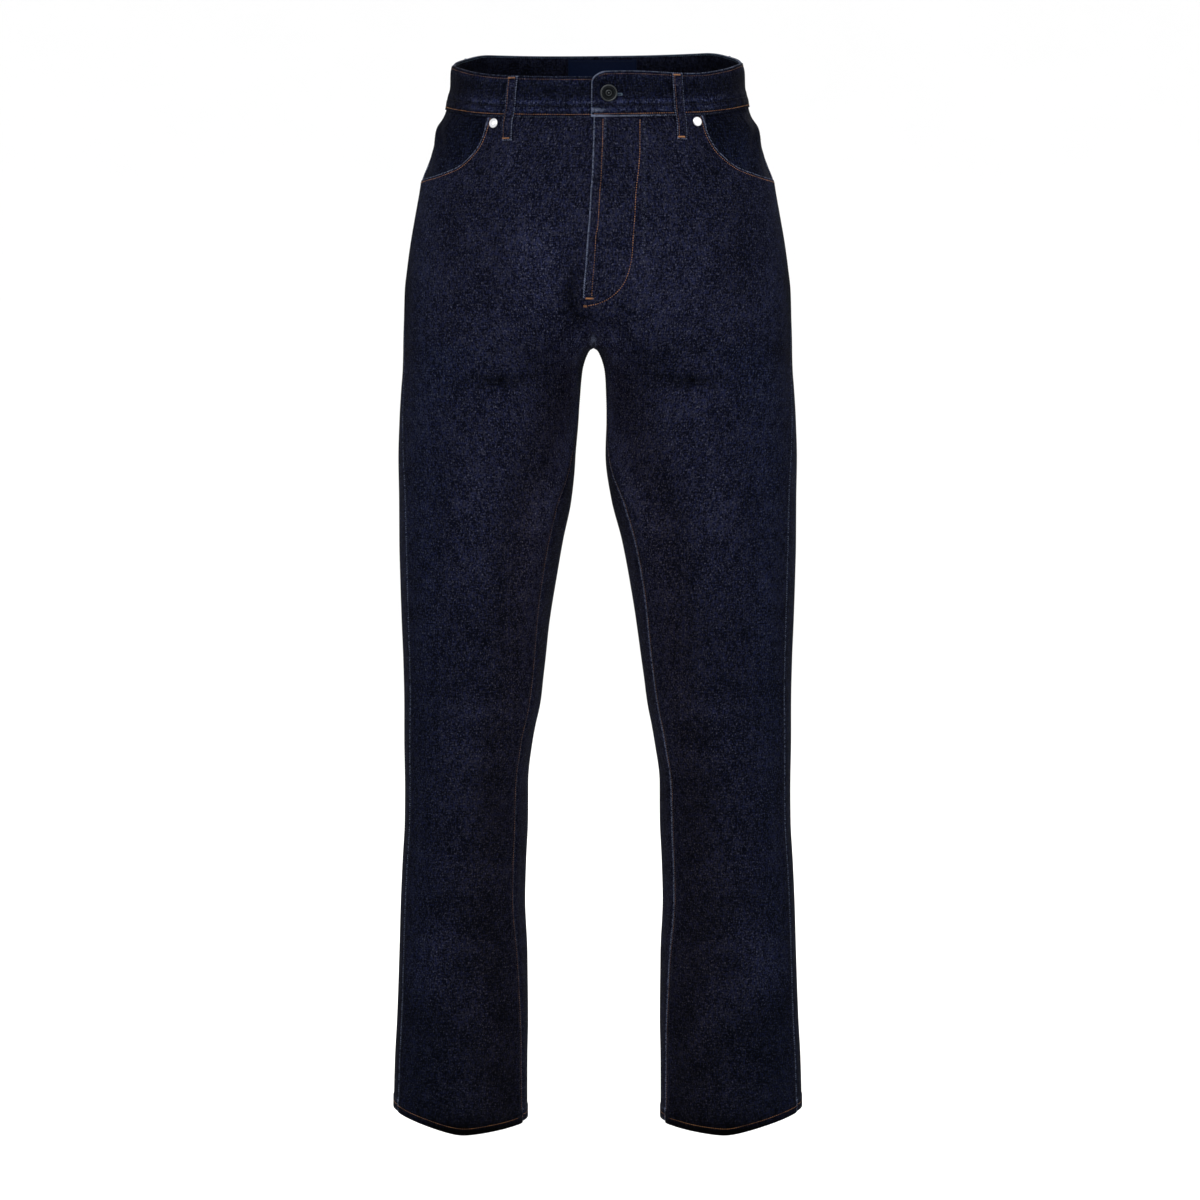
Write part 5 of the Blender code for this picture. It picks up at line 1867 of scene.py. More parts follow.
def back_columns(form: JeansForm, half: Half, plain: Array, level: Array) -> tuple[Array, ...]:
    """Adds a back piece's tucked edges: under the front at the side seam, and at the centre back or inseam.

    Above the crotch the left half's piece laps over the right half's. Below it the piece runs on under
    the front.

    Args:
        form: the form of the cloth.
        half: the half.
        plain: lengths from the side seam to the centre back or inseam.
        level: levels of the same places.

    Returns:
        (along, level, out, distance from the side seam, distance to the last edge), with the new columns.
    """
    closed = level[:, -1] <= form.CROTCH
    seam = form.front_length(half, level[:, 0]) + form.half_seam
    end = form.whole_length(half, level[:, -1]) - np.where(closed, form.half_seam, 0)
    laps = ((half is Half.LEFT) & ~closed)[:, None]
    along = plain.copy()
    along[:, 0], along[:, -1] = seam, end
    seam, end = seam[:, None], end[:, None]
    beyond = end + np.where(laps, LAP_STEPS, TUCK_STEPS[::-1])
    along = np.concatenate([seam - TUCK_STEPS, along, beyond], 1)
    from_side, to_back = along - seam, end - along
    out = dent(np.maximum(from_side, 0), *TUCKED)
    out += np.where(laps, felled(to_back), dent(np.maximum(to_back, 0), *TUCKED))
    out[:, :3] = TUCK_HEIGHTS
    out[:, -3:] = np.where(laps, LAP_HEIGHTS, TUCK_HEIGHTS[::-1])
    return along, widen(level), out, from_side, to_back


def back_wear(half: Half, from_side: Array, to_back: Array) -> Array:
    """Wear by the distances from a back piece's two edges, stronger on the half that laps over."""
    centre = 0.55 if half is Half.LEFT else 0.2
    return 0.4 * bump(from_side, 1.3) + centre * bump(to_back, 1.4) + 0.18 * bump(to_back - 11.5, 1.5)


@dataclass
class Yoke(HalfPart):
    """The V-shaped yoke between the waistband and a back leg panel. The left one laps over the right."""

    wall: float = 1.1
    at_side: float = 36.0
    at_back: float = 66.0
    inside_band: float = 5.5
    most_raised: float = 0.6
    columns: int = 60
    rows: int = 16
    low_steps: tuple[float, ...] = (9.8, 9.0, 8.2, 6.0, 4.0, 3.2, 2.6, 2.0, 1.0, 0.0)

    def seams(self, share: Array) -> tuple[Array, Array]:
        """The yoke's two long seams.

        Args:
            share: places, from 1 at the side to 2 at the centre back.

        Returns:
            (waist seam, yoke seam) levels.
        """
        _, waist = self.form.meet_seam(self.half, lambda level: self.form.along_of(self.half, share, level))
        return waist, waist - self.at_side - (self.at_back - self.at_side) * (share - 1)

    def make(self) -> None:
        """Makes the yoke and the rows of stitches along its lower edge."""
        form, half, word = self.form, self.half, self.half.word
        share = np.linspace(1, 2, self.columns)
        waist, edge = self.seams(share)
        high, low = waist + self.inside_band, edge + form.half_seam
        rows = [high + (low + EDGE_REACH - high) * part for part in np.linspace(0, 1, self.rows)]
        level = np.array(rows + [low + step for step in self.low_steps])
        plain = form.along_of(half, share + 0 * level, level)
        along, level, out, from_side, to_back = back_columns(form, half, plain, level)
        over, below = level - widen(low), widen(waist) - level
        out += np.minimum(felled(over), self.most_raised)
        grid = self.grid(along, level, np.where(below < 0, UNDER_BAND, out))
        worn = 0.5 * bump(over, 1.4) + 0.2 * bump(over - 11.5, 1.5)
        grid.masks |= {
            "wear": worn + back_wear(half, from_side, to_back),
            "pucker": 0.5 * bump(below, 14) + 0.7 * bump(over - 6, 8),
            "ripple": 0.6 * bump(to_back - 5, 8),
        }
        self.bench.cloth(f"yoke_cloth_{word}", grid, self.wall, f"yoke_{word}")
        for row in SEAM_ROWS:
            along = form.along_of(half, share, low + row)
            self.sew_row(f"yoke_stitches_{word}", Slot.ORANGE, along, low + row, felled(row))


@dataclass
class BackLeg(Leg):
    """A back leg panel, from under the yoke to the hem."""

    yoke: Yoke
    columns: int = 76
    top_rows: int = 12
    hem_start: float = 1.003  # the share where the hem's row of stitches begins
    seat_foot: float = -288.0
    seat_out: float = 0.3
    # The rows at the top, as (rise over the panel's edge, height over the form).
    UNDER_YOKE = (
        (7.0, -1.7), (3.5, -1.7), (1.2, -1.6), (0.3, -0.9), (-0.6, -0.3), (-2.0, -0.05), (-4.0, 0.0),
    )

    def make(self) -> None:
        """Makes the panel, its hem row and the rows beside the centre back seam."""
        form, half, word, levels = self.form, self.half, self.half.word, panel_levels()
        share = np.linspace(1, 2, self.columns + 2 * len(EDGE_STEPS))
        top = self.yoke.seams(share)[1] - form.half_seam
        rows = [(top + rise, out) for rise, out in self.UNDER_YOKE]
        open_top = rows[-1][0]
        for part in np.linspace(0, 1, self.top_rows + 1)[1:]:
            rows.append((open_top + (TOP_ZONE - open_top) * part, 0.0))
        high_level, high_out = stack_rows(rows)
        high_along = form.along_of(half, share + 0 * high_level, high_level)

        start = form.front_length(half, levels) + form.half_seam
        end = form.whole_length(half, levels)
        mirrored = spread(-end, -start, form.steady_lengths(half, levels)[1], self.columns)
        middle_along = -mirrored[:, ::-1]
        blend = step_up(np.linspace(0, 1, len(high_along)))[:, None]
        shift = middle_along[0] - form.along_of(half, share, levels[0] + 0 * share)
        high_along = high_along + shift * blend

        low_share = 1 + (middle_along[-1] - start[-1]) / (end[-1] - start[-1])
        hem_along, hem_level, hem_out, _ = self.hem_rows(np.clip(low_share, 1, 2))
        plain = np.concatenate([high_along, middle_along, hem_along])
        level = np.concatenate([high_level, levels[:, None] + 0 * middle_along, hem_level])
        base = widen(np.concatenate([high_out, 0 * middle_along, hem_out]))
        along, level, out, from_side, to_back = back_columns(form, half, plain, level)
        hem_edge = widen(hem_level[-1]) - self.hem.inside[-1]
        over_hem = np.where(level < BOTTOM_ZONE, level - hem_edge, FAR)
        grid = self.grid(along, level, out + base)
        worn = back_wear(half, from_side, to_back) * np.where(level <= form.CROTCH, 0.7, 1.0)
        grid.masks |= {
            "wear": worn + 0.2 * bump(over_hem, 1.6) + 0.18 * bump(over_hem - 13, 1.2),
            "pucker": 0.7 * bump(over_hem - 7, 9) + 0.5 * bump(widen(top) - level, 10),
            "ripple": 0.6 * bump(from_side - 3, 8) + 0.7 * bump(to_back - 5, 8),
        }
        hangs_from = (f"yoke_cloth_{word}",)
        self.bench.cloth(f"back_leg_{word}", grid, self.wall, f"back_{word}", hangs_from, inside=INSIDE_DENIM)
        self.sew_hem(self.hem_start, 2.0)
        if half is Half.LEFT:
            self.sew_seat_seam()

    def sew_seat_seam(self) -> None:
        """Sews the two rows beside the centre back seam."""
        waist = self.yoke.seams(np.array([2.0]))[0][0]
        level = np.linspace(waist - 1, self.seat_foot, 200)
        for row in SEAM_ROWS:
            along = self.form.whole_length(self.half, level) - row
            self.sew_row("seat_seam_stitches", Slot.ORANGE, along, level, self.seat_out)


@dataclass
class BackPocket(HalfPart):
    """A patch pocket with a pointed foot, sewn onto a back leg panel."""

    yoke: Yoke
    width: float = 150.0
    foot: float = 130.0
    side: float = 128.0
    point: float = 22.0
    drop: float = 15.0
    reach: float = 118.0
    tilt: float = 0.08
    wall: float = 1.2
    lift: float = 1.65
    bulge: float = 1.0
    fullest: float = 0.35  # how far down it bulges most
    top_hem: float = 16.0
    columns: int = 45
    rows: int = 42
    stitch_rows: tuple[float, float] = (2.2, 8.6)
    # The pocket's mean half width and length, by which distances from its edges are measured.
    HALF_WIDTH, LENGTH = 70.0, 146.0
    GIRTH_LEVEL = -120.0
    STITCH_TOP = 0.006
    TACK, TACK_SIZE = (0.965, 0.035), (9.0, 2.4)

    def place(self, u: Array, v: Array) -> tuple[Array, Array]:
        """Places on the pocket.

        Args:
            u: across it, from -1 on the centre back's side to 1 on the side seam's.
            v: down it, from 0 at its top edge to 1 at its foot.

        Returns:
            (along, level).
        """
        form, half = self.form, self.half
        girth = float(form.whole_length(half, self.GIRTH_LEVEL) - form.front_length(half, self.GIRTH_LEVEL))
        top = self.yoke.seams(np.array([2 - self.reach / girth]))[1][0] - self.drop
        half_width = (self.width + (self.foot - self.width) * v) / 2
        rise = self.tilt * self.width / 2 * u * (1 - v)
        level = top + rise - v * (self.side + self.point * (1 - np.abs(u)))
        return form.whole_length(half, level) - self.reach - u * half_width, level

    def swell(self, u: Array, v: Array | float) -> Array:
        """How far the pocket bulges at a place on it."""
        return self.bulge * ease(np.abs(u)) * ease(np.abs(v - self.fullest) / (1 - self.fullest))

    def make(self) -> None:
        """Makes the pocket, its double rows of stitches and its tacks."""
        word = self.half.word
        beside, below = EDGE_STEPS / (self.width / 2), EDGE_STEPS / (self.side + self.point)
        across = np.concatenate([-1 + beside, np.linspace(-0.87, 0.87, self.columns), 1 - beside[::-1]])
        down = np.concatenate([below, np.linspace(0.07, 0.93, self.rows), 1 - below[::-1]])
        v, u = np.meshgrid(down, across[::-1], indexing="ij")
        along, level = self.place(u, v)
        to_side, to_foot, to_top = (1 - np.abs(u)) * self.HALF_WIDTH, (1 - v) * self.LENGTH, v * self.LENGTH
        edge = np.minimum(to_side, to_foot)
        out = self.lift + dent(edge, 1.1, 1.1) + dent(to_top, 0.5, 1.0) + self.swell(u, v)
        out += 0.5 * step_down((to_top - self.top_hem) / 2.5)
        out += dent(edge - self.stitch_rows[0], 0.2) + dent(edge - self.stitch_rows[1], 0.15)
        grid = self.grid(along, level, out)
        grid.masks["fade"] += 0.03
        worn = 0.55 * bump(edge, 1.5) + 0.75 * bump(to_top, 1.5) + 0.25 * bump(to_top - self.top_hem, 1.5)
        grid.masks |= {
            "wear": worn,
            "pucker": 0.6 * bump(to_top - 8, 9) + 0.5 * bump(to_foot - 5, 8),
            "ripple": 0.5 * bump(to_side - 5, 8),
            "warm": 0.0,
        }
        name, node = f"back_pocket_cloth_{word}", f"back_pocket_{word}"
        self.bench.cloth(name, grid, self.wall, node, (f"back_leg_{word}",))
        self.sew()

    def sew(self) -> None:
        """Sews the pocket down with two rows, its top hem with one, and tacks its corners."""
        piece = f"back_pocket_stitches_{self.half.word}"
        for row in self.stitch_rows:
            side, foot = 1 - row / self.HALF_WIDTH, 1 - row / self.LENGTH
            turned = np.linspace(-side, side, 90)[1:-1]
            down = np.linspace(self.STITCH_TOP, foot, 60)
            u = np.concatenate([-side + 0 * down, turned, side + 0 * down])
            v = np.concatenate([down, foot + 0 * turned, down[::-1]])
            out = self.lift + self.swell(u, v) - 0.2 + 0.5 * (v * self.LENGTH < self.top_hem)
            self.sew_row(piece, Slot.ORANGE, *self.place(u, v), out)
        u = np.linspace(-0.97, 0.97, 90)
        top_row = self.place(u, 0 * u + (self.top_hem - 2.5) / self.LENGTH)
        self.sew_row(piece, Slot.ORANGE, *top_row, self.lift + self.swell(u, 0.1) + 0.45)
        for end in (-1, 1):
            along, level = self.place(np.array([self.TACK[0] * end]), np.array([self.TACK[1]]))
            spot = (along[0], level[0], self.lift + 0.3)
            self.bench.bar_tack(piece, self.half, spot, *self.TACK_SIZE, upright=True)


# ---------------------------------------------------------------- waist
@dataclass
class Waistband(Part):
    """One doubled strip whose upper end, on the wearer's left, laps over its lower end at the front.

    A length along its middle is called a run. The form's own lengths at a level are in proportion to it.
    """

    wall: float = 2.6
    out: float = 1.5
    end: float = -5.8
    underlap: float = 34.0
    ramp: float = 70.0
    rise: float = 5.0
    corner: float = 14.0
    squash: float = 0.97  # keeps the corner's last step from standing upright
    step: float = 1.575  # half of how far the two ends part
    columns: int = 130
    top_row: float = 3.0
    low_row: float = 2.8
    tonal_row: float = 11.3
    inside_row: float = 1.9
    inside_from: float = 70.0  # where the row inside begins
    rim: float = 1.0
    DROPS = (0.0, 0.7, 1.5, 2.3, 3.0, 3.7, 5.0, 8.0)
    RISES = (20.0, 17.2, 15.6, 14.4, 13.0, 12.0, 11.3, 10.6, 9.4, 7.0, 4.6, 3.5, 2.8, 2.1, 1.3, 0.6, 0.0)

    def whole(self, half: Half) -> float:
        """The run from the centre front to the centre back."""
        return float(self.form.whole_length(half, self.form.BAND_MIDDLE))

    def top(self, half: Half, run: Array) -> Array:
        """Level of the top edge. The upper end rises and has a rounded corner.

        Args:
            half: the half.
            run: lengths along the band's middle.

        Returns:
            The levels.
        """
        high = self.form.waist_level(half, run / self.whole(half), "top")
        if half is Half.LEFT:
            high = high + self.rise * ease((run - 25) / 90) - self.corner_drop(run)
        return high

    def low(self, half: Half, run: Array) -> Array:
        """Level of the lower edge."""
        return self.form.waist_level(half, run / self.whole(half), "seam") + self.form.SEAM

    def corner_drop(self, run: Array) -> Array:
        """How far the rounded corner of the upper end takes its top edge down."""
        past = self.squash * np.clip((self.end + self.corner - run) / self.corner, 0, 1)
        return self.corner * (1 - np.sqrt(1 - past**2))

    def corner_row(self, first: float, last: float) -> tuple[Array, Array]:
        """The part of an edge row that turns the upper end's corner.

        Args:
            first: its lower turn in degrees, 0 being upright.
            last: its higher turn.

        Returns:
            (run, level).
        """
        turn = np.radians(np.linspace(first, last, 16))
        reach = self.corner - self.top_row
        run = self.end + self.corner - reach * np.cos(turn)
        flat = self.top(Half.LEFT, run) + self.corner_drop(run)
        return run, flat - self.corner + reach * np.sin(turn)

    def from_edge(self, run: Array, down: Array) -> Array:
        """Distance from the upper end's edge, round its corner.

        Args:
            run: lengths along the band's middle.
            down: distances below the top edge.

        Returns:
            The distances.
        """
        inward, below = run - self.end + 0 * down, down + self.corner_drop(run)
        turned = self.corner - np.hypot(self.squash * (self.corner - inward), self.corner - below)
        return np.where((inward < self.corner) & (below < self.corner), turned, np.minimum(inward, below))

    def surface(self, half: Half, run: Array | float) -> Array:
        """Height of the outer face over the form: the two ends part where they lap.

        Args:
            half: the half.
            run: lengths along the band's middle.

        Returns:
            The heights.
        """
        if half is Half.LEFT:
            return self.out + self.step * ease((run - self.underlap) / self.ramp)
        return self.out - self.step * ease((run - 8) / self.ramp)

    def ring(self, half: Half, run: Array, level: Array) -> Array:
        """The form's own lengths at each level."""
        return run * self.form.whole_length(half, level) / self.whole(half)

    def part(self, half: Half, run: Array) -> tuple[Array, Array, Array, Array, Array]:
        """One half of the band.

        Args:
            half: the half.
            run: lengths of the columns, along the band's middle.

        Returns:
            (points, level, out, distance from the top edge, height over the lower edge).
        """
        high, low = self.top(half, run), self.low(half, run)
        rows = [high - drop for drop in self.DROPS]
        start, stop = rows[-1], low + self.RISES[0]
        rows += [start + (stop - start) * part for part in (0.25, 0.5, 0.75)]
        rows += [low + rise for rise in self.RISES]
        level, least = np.array(rows), 0.01
        for index in range(len(rows)):
            level[index] = np.clip(level[index], low + least * (len(rows) - index), high - least * index)
        level = -np.sort(-level, axis=0)
        down, over = high - level, level - low
        edge = self.from_edge(run, down) if half is Half.LEFT else down
        out = self.surface(half, run) + dent(edge - self.top_row, 0.25) + dent(over - self.low_row, 0.25)
        out += dent(over - self.tonal_row, 0.22, 0.8)
        out += 0.25 * bump(over - 7.0, 2.8) + 0.3 * bump(over - 14.6, 1.9)
        lengths = self.ring(half, run + 0 * level, level)
        return self.form.place(half, lengths, level, out), level, out, down, over

    def masks(self, run: Array, down: Array, over: Array, middle: float) -> dict[str, Array | float]:
        """What the finish reads: rubbed edges, a worn end and foot at the upper end with a painted highlight
        round its corner, and pale strips, partly rubbed and partly a painted highlight.

        Args:
            run: lengths of the columns from the upper end right round.
            down: distances below the top edge.
            over: heights over the lower edge.
            middle: length of the centre back.

        Returns:
            The masks.
        """
        edge, below = self.from_edge(run, down), down + self.corner_drop(run)
        from_end, around = run - self.end, np.abs(run - middle)
        rear, lap = step_down((around - 120) / 60), step_down((run - 40) / 50)
        front = step_up((around - max(self.whole(half) for half in Half) + 165) / 70)
        wear = (0.24 + 0.14 * (run < middle) + 0.4 * rear) * bump(edge, 1.1)
        wear = wear + (0.08 + 0.14 * front + 0.36 * lap) * bump(over - 0.3, 1.1)
        wear -= 0.2 * bump(from_end, 1.5) * step_up((below - 14) / 6)
        wear += 0.3 * bump(edge, 1.0) * bump(from_end, 12)
        wear += 0.85 * bump(from_end - 5, 8) * (bump(over - 0.8, 1.1) + 0.7 * bump(over - 6.5, 2.2))
        # A painted highlight round the upper end's rounded corner, carried in the wear mask.
        wear += 0.5 * bump(from_end - 6, 6) * bump(below, 7) * bump(edge, 1.8)
        # Pale strips along the band: at 7 a rubbed band, at 14.6 a painted highlight along the puffed ridge
        # above the navy row, at 18.5 a faint pale strip; all are stronger towards the front.
        strip = 1.15 * bump(over - 7.0, 2.6) + 1.6 * bump(over - 14.6, 1.7) + 0.3 * bump(over - 18.5, 2.6)
        strip = strip * (1 + 0.4 * np.sin(around / 12.6) * np.sin(around / 5.1 + 1))
        fade = (0.15 + 0.85 * front) * strip + 0.34 * bump(down - 5.0, 2.6)
        return {
            "wear": wear,
            "pucker": 0.42 + 0.5 * bump(over - 7, 6),
            "fade": fade - 0.46 - 0.2 * bump(around - 226, 75),
            "warm": -0.55,
        }

    def make(self) -> None:
        """Makes the band and its rows of stitches."""
        turn = np.linspace(math.acos(self.squash), math.pi / 2, 12)
        turn = self.end + self.corner * (1 - np.cos(turn) / self.squash)
        ends = [self.whole(half) for half in Half]
        left = np.concatenate([turn, np.linspace(turn[-1], ends[0], self.columns)[1:]])
        under = np.linspace(0, -self.underlap, 10)[1:]
        right = np.concatenate([np.linspace(ends[1], 0, self.columns)[1:], under])
        parts = [self.part(half, run) for half, run in ((Half.LEFT, left), (Half.RIGHT, right))]
        points, level, out, down, over = (np.concatenate(pair, 1) for pair in zip(*parts))
        run = np.concatenate([left, ends[0] + ends[1] - right])
        along = run + 0 * level
        grid = Grid(Half.LEFT, along, level, out, along, self.masks(run, down, over, ends[0]))
        self.bench.cloth(
            "waistband_cloth",
            grid,
            self.wall,
            "waistband",
            hangs_from=(),
            inside=SHADED_BAND_LINING,
            rim=self.rim,
            points=points,
        )
        for half, line in ((Half.LEFT, left), (Half.RIGHT, right[right > -3.0])):
            self.sew(half, np.linspace(line.min() + 2.6, line.max(), 260))

    def sew(self, half: Half, run: Array) -> None:
        """Sews one half's rows.

        Args:
            half: the half.
            run: lengths along the band's middle.
        """
        high, low = self.top(half, run), self.low(half, run)
        top = (run, high - self.top_row)
        if half is Half.LEFT:
            past = run > self.end + self.corner
            straight = (run[past], top[1][past])
            top = tuple(np.concatenate(pair) for pair in zip(self.corner_row(50, 88), straight))
        low_row, tonal_row = (run, low + self.low_row), (run, low + self.tonal_row)
        for line, slot in ((top, Slot.RUST), (low_row, Slot.ORANGE), (tonal_row, Slot.NAVY)):
            self.sew_line(half, slot.name.lower(), slot, line, self.surface(half, line[0]) - 0.2)
        rear = run > self.inside_from
        inner = self.surface(half, run[rear]) - self.wall - 0.2
        self.sew_line(half, "inside", Slot.PALE, (run[rear], high[rear] - self.inside_row), inner)
        if half is Half.LEFT:
            turned, level = self.corner_row(0, 42)
            upright = np.linspace(low[0] + 3, level[0], 20)[:-1]
            run = np.concatenate([turned[0] + 0 * upright, turned])
            line = (run, np.concatenate([upright, level]))
            self.sew_line(half, "navy", Slot.NAVY, line, self.surface(half, run) - 0.05)

    def sew_line(self, half: Half, word: str, slot: Slot, line: tuple[Array, Array], out: Array) -> None:
        """Sews one row.

        Args:
            half: the half.
            word: the last word of its piece's name.
            slot: the thread's finish.
            line: its (run, level).
            out: height of the cloth's face under it.
        """
        piece = f"waistband_stitches_{half.word}_{word}"
        self.bench.sew(piece, slot, half, self.ring(half, *line), line[1], out)


@dataclass
class BeltLoop(HalfPart):
    """A folded strip, sewn down at the waistband's top edge and below its seam."""

    name: str
    share: float  # from the centre front to the centre back
    lean: float
    band: Waistband
    width: float = 10.5
    wall: float = 1.8
    below: float = 23.0
    bulge: float = 0.7
    lift: float = 0.9
    rim: float = 0.45
    inset: float = 1.9  # from its edge to its row of stitches
    stitch: Stitch = Stitch(1.9, 0.7, 0.32)
    TACK_SIZE = (7.2, 1.9)
    END_STEPS = np.array([0, 0.8, 2, 3.5])
    ACROSS = np.array([-1, -0.92, -0.78, -0.5, -0.2, 0.2, 0.5, 0.78, 0.92, 1])

    def __post_init__(self) -> None:
        """Finds the levels of its head, the waist seam and its foot."""
        run = self.share * self.band.whole(self.half)
        self.face = self.band.surface(self.half, run)
        self.head = float(self.band.top(self.half, np.array([run]))[0]) - 0.6
        self.seam = float(self.form.waist_level(self.half, self.share, "seam")[0])
        self.foot = self.seam - self.below

    def middle(self, level: Array | float) -> Array:
        """Length of the loop's middle at each level."""
        leant = self.lean * (self.head - level) / (self.head - self.foot)
        return self.share * self.form.whole_length(self.half, level) + leant

    def height(self, level: Array) -> Array:
        """Height of the loop's outer face over the form.

        Args:
            level: levels.

        Returns:
            The height at each level.
        """
        bow = self.bulge * np.sin(math.pi * np.clip((self.head - level) / (self.head - self.seam), 0, 1))
        out = self.lift + (self.face + bow) * ease((self.seam - level) / 14) + self.wall
        return out - 0.9 * ease((self.head - level) / 5) - 0.9 * ease((level - self.foot) / 5)

    def make(self) -> None:
        """Makes the loop, its edge rows and its two tacks."""
        half, middle_rows = self.half, np.linspace(self.head - 5, self.foot + 5, 26)
        rows = np.concatenate([self.head - self.END_STEPS, middle_rows, self.foot + self.END_STEPS[::-1]])
        across = self.width / 2 * self.ACROSS
        level = rows[:, None] + 0 * across
        along = self.middle(level) + across
        edge = (self.width / 2 - np.abs(across)) + 0 * level
        out = self.height(level) + dent(edge, 0.45, 0.8) + dent(edge - self.inset, 0.18, 0.7)
        ends = np.minimum(self.head - level, level - self.foot)
        grid = Grid(half, along, level, out, along)
        grid.masks = {
            "wear": 0.45 * bump(edge, 0.8) + 0.45 * bump(ends, 1.2),
            "ripple": 0.35,
            "fade": 0.3 * bump(edge - 5.2, 2.6) - 0.08,
        }
        node = f"belt_loop_{self.name}"
        self.bench.cloth(f"{node}_cloth", grid, self.wall, node, rim=self.rim)
        level = np.linspace(self.head - 3, self.foot + 3, 60)
        for side, slot in ((-half.value, Slot.RUST), (half.value, Slot.NAVY)):
            along = self.middle(level) + side * (self.width / 2 - self.inset)
            piece = f"belt_loop_stitches_{slot.name.lower()}"
            self.sew_row(piece, slot, along, level, self.height(level) - 0.1, self.stitch)
        for at in (self.head - 1.9, self.foot + 2.2):
            spot = (float(self.middle(at)) - half.value * 0.8, at, float(self.height(np.array([at]))[0]))
            self.bench.bar_tack("belt_loop_tacks", half, spot, *self.TACK_SIZE)


@dataclass
class BackLabel(Part):
    """The bare cloth label inside the back of the waistband."""

    width: float = 73.0
    height: float = 32.0
    wall: float = 0.9
    drop: float = 4.0
    shift: float = 5.0
    out: float = -1.4
    rim: float = 0.25
    inset: float = 2.0  # from its edges to its rows of stitches
    stitch: Stitch = Stitch(1.8, 0.9, 0.25)

    def make(self) -> None:
        """Makes the label and its tacks."""
        form, half = self.form, Half.LEFT
        top = float(form.WAIST.at("top", 1.0)) - self.drop
        across = np.linspace(-self.width / 2, self.width / 2, 40)
        level = top - self.height * np.linspace(0, 1, 18)[:, None] + 0 * across
        along = form.whole_length(half, level) - self.shift + across
        dip = 0.35 * bump(level - top + self.height / 2, 7) * bump(across, 22)
        grid = Grid(half, along, level, self.out - dip, along)
        self.bench.cloth("label_cloth", grid, self.wall, "waist_label", slot=Slot.LABEL, rim=self.rim)
        line = np.linspace(-self.width / 2 + self.inset, self.width / 2 - self.inset, 60)
        for down in (self.inset, self.height - self.inset):
            level = top - down + 0 * line
            along = form.whole_length(half, level) - self.shift + line
            inner = self.out - self.wall - 0.22
            self.bench.sew("label_stitches", Slot.NAVY, half, along, level, inner, self.stitch)


# ---------------------------------------------------------------- metal
@dataclass
class Fastener(HalfPart):
    """A round metal fastener, turned from a profile of (radius, height) from its middle outwards."""

    name: str
    node: str
    slot: Slot
    spot: Point  # its length, level and height over the form
    profile: tuple[tuple[float, float], ...]
    steps: int = 48
    RECESS_BELOW, RECESS_DEPTH = 0.12, 0.45  # a recess starts a little below the crown

    def seat(self) -> Matrix:
        """Where the fastener stands.

        Returns:
            A matrix whose +Z stands out from the cloth.
        """
        along, level, out = self.spot
        sideways, upwards = np.array([0.0, 1.0, 0.0]), np.array([0.0, 0.0, 1.0])
        spot, beside, above = self.form.place(self.half, along + sideways, level + upwards, out)
        x = Vector(beside - spot).normalized() * self.half.value
        z = x.cross(Vector(above - spot)).normalized()
        turn = Matrix((x, z.cross(x), z)).transposed().to_4x4()
        return Matrix.Translation(Vector(spot) * MM) @ turn

    def make(self) -> None:
        """Turns the profile and sets the fastener on the cloth."""
        mesh = lathe(self.name, [(radius * MM, height * MM) for radius, height in self.profile], self.steps)
        crown = max(height for _, height in self.profile) - self.RECESS_BELOW
        heights = np.array([vert.co.z for vert in mesh.vertices]) / MM
        recess = np.clip((crown - heights) / self.RECESS_DEPTH, 0, 1)
        mesh.attributes.new("recess", "FLOAT", "POINT").data.foreach_set("value", recess)
        mesh.transform(self.seat())
        mesh.shade_smooth()
        self.bench.add(mesh, self.slot, (self.node,))


BUTTON_PROFILE = (
    (0.0, 4.9), (0.5, 4.85), (0.95, 4.6), (1.2, 4.25), (1.6, 4.2), (1.95, 4.45), (2.3, 4.75), (2.8, 4.8),
    (3.2, 4.5), (3.7, 4.35), (4.6, 4.4), (5.4, 4.5), (5.8, 4.55), (6.2, 4.5), (6.5, 4.45), (6.8, 4.5),
    (7.2, 4.85), (7.7, 5.0), (8.15, 4.85), (8.4, 4.5), (8.5, 4.0), (8.4, 3.5), (8.0, 3.15), (6.0, 2.9),
    (3.8, 2.7), (3.5, 2.0), (3.45, 0.0), (0.0, 0.0),
)
RIVET_PROFILE = (
    (0.0, 1.15), (0.5, 1.15), (0.75, 1.35), (1.0, 1.6), (1.3, 1.7), (1.6, 1.6), (1.85, 1.25), (2.2, 1.0),
    (3.0, 1.1), (3.7, 1.25), (4.3, 1.15), (4.65, 0.85), (4.8, 0.45), (4.7, 0.05), (4.3, 0.0), (0.0, 0.0),
)


@dataclass
class Buttonhole(Part):
    """The end of the buttonhole that shows beside the button: close stitches across a slit."""

    band: Waistband
    along: float
    level: float
    start: float = 7.6
    end: float = 13.4
    half_width: float = 1.5
    fan: float = 70.0  # how far the stitches round its end turn, in degrees
    rise: float = 0.05
    radius: float = 0.26

    def stitch(self, along: Array, level: Array, length: float) -> None:
        """Sews one stitch.

        Args:
            along: lengths of its two ends, from the button's middle.
            level: their levels over the button's middle.
            length: its length.
        """
        out = float(self.band.surface(Half.LEFT, self.along + self.end)) + self.rise
        size = Stitch(length, 0, self.radius)
        place = (self.along + along, self.level + level)
        self.bench.sew("buttonhole_stitches", Slot.PALE, Half.LEFT, *place, out, size)

    def make(self) -> None:
        """Sews the buttonhole's end."""
        for at in np.arange(self.start, self.end - 0.8, 0.6):
            for side in (-1, 1):
                ends = np.array([0.15, 1.0]) * side * self.half_width
                self.stitch(at + 0 * ends, ends, 1.4)
        ends = np.array([0.3, 1.0]) * self.half_width
        for turn in np.radians(np.linspace(-self.fan, self.fan, 7)):
            self.stitch(self.end - 1 + ends * math.cos(turn), ends * math.sin(turn), 1.2)


# ---------------------------------------------------------------- studio
class Light(NamedTuple):
    """A soft square light: where it hangs, what it points at, its width in metres and its power in watts."""

    name: str
    spot: Point
    aim: Point
    size: float
    power: float


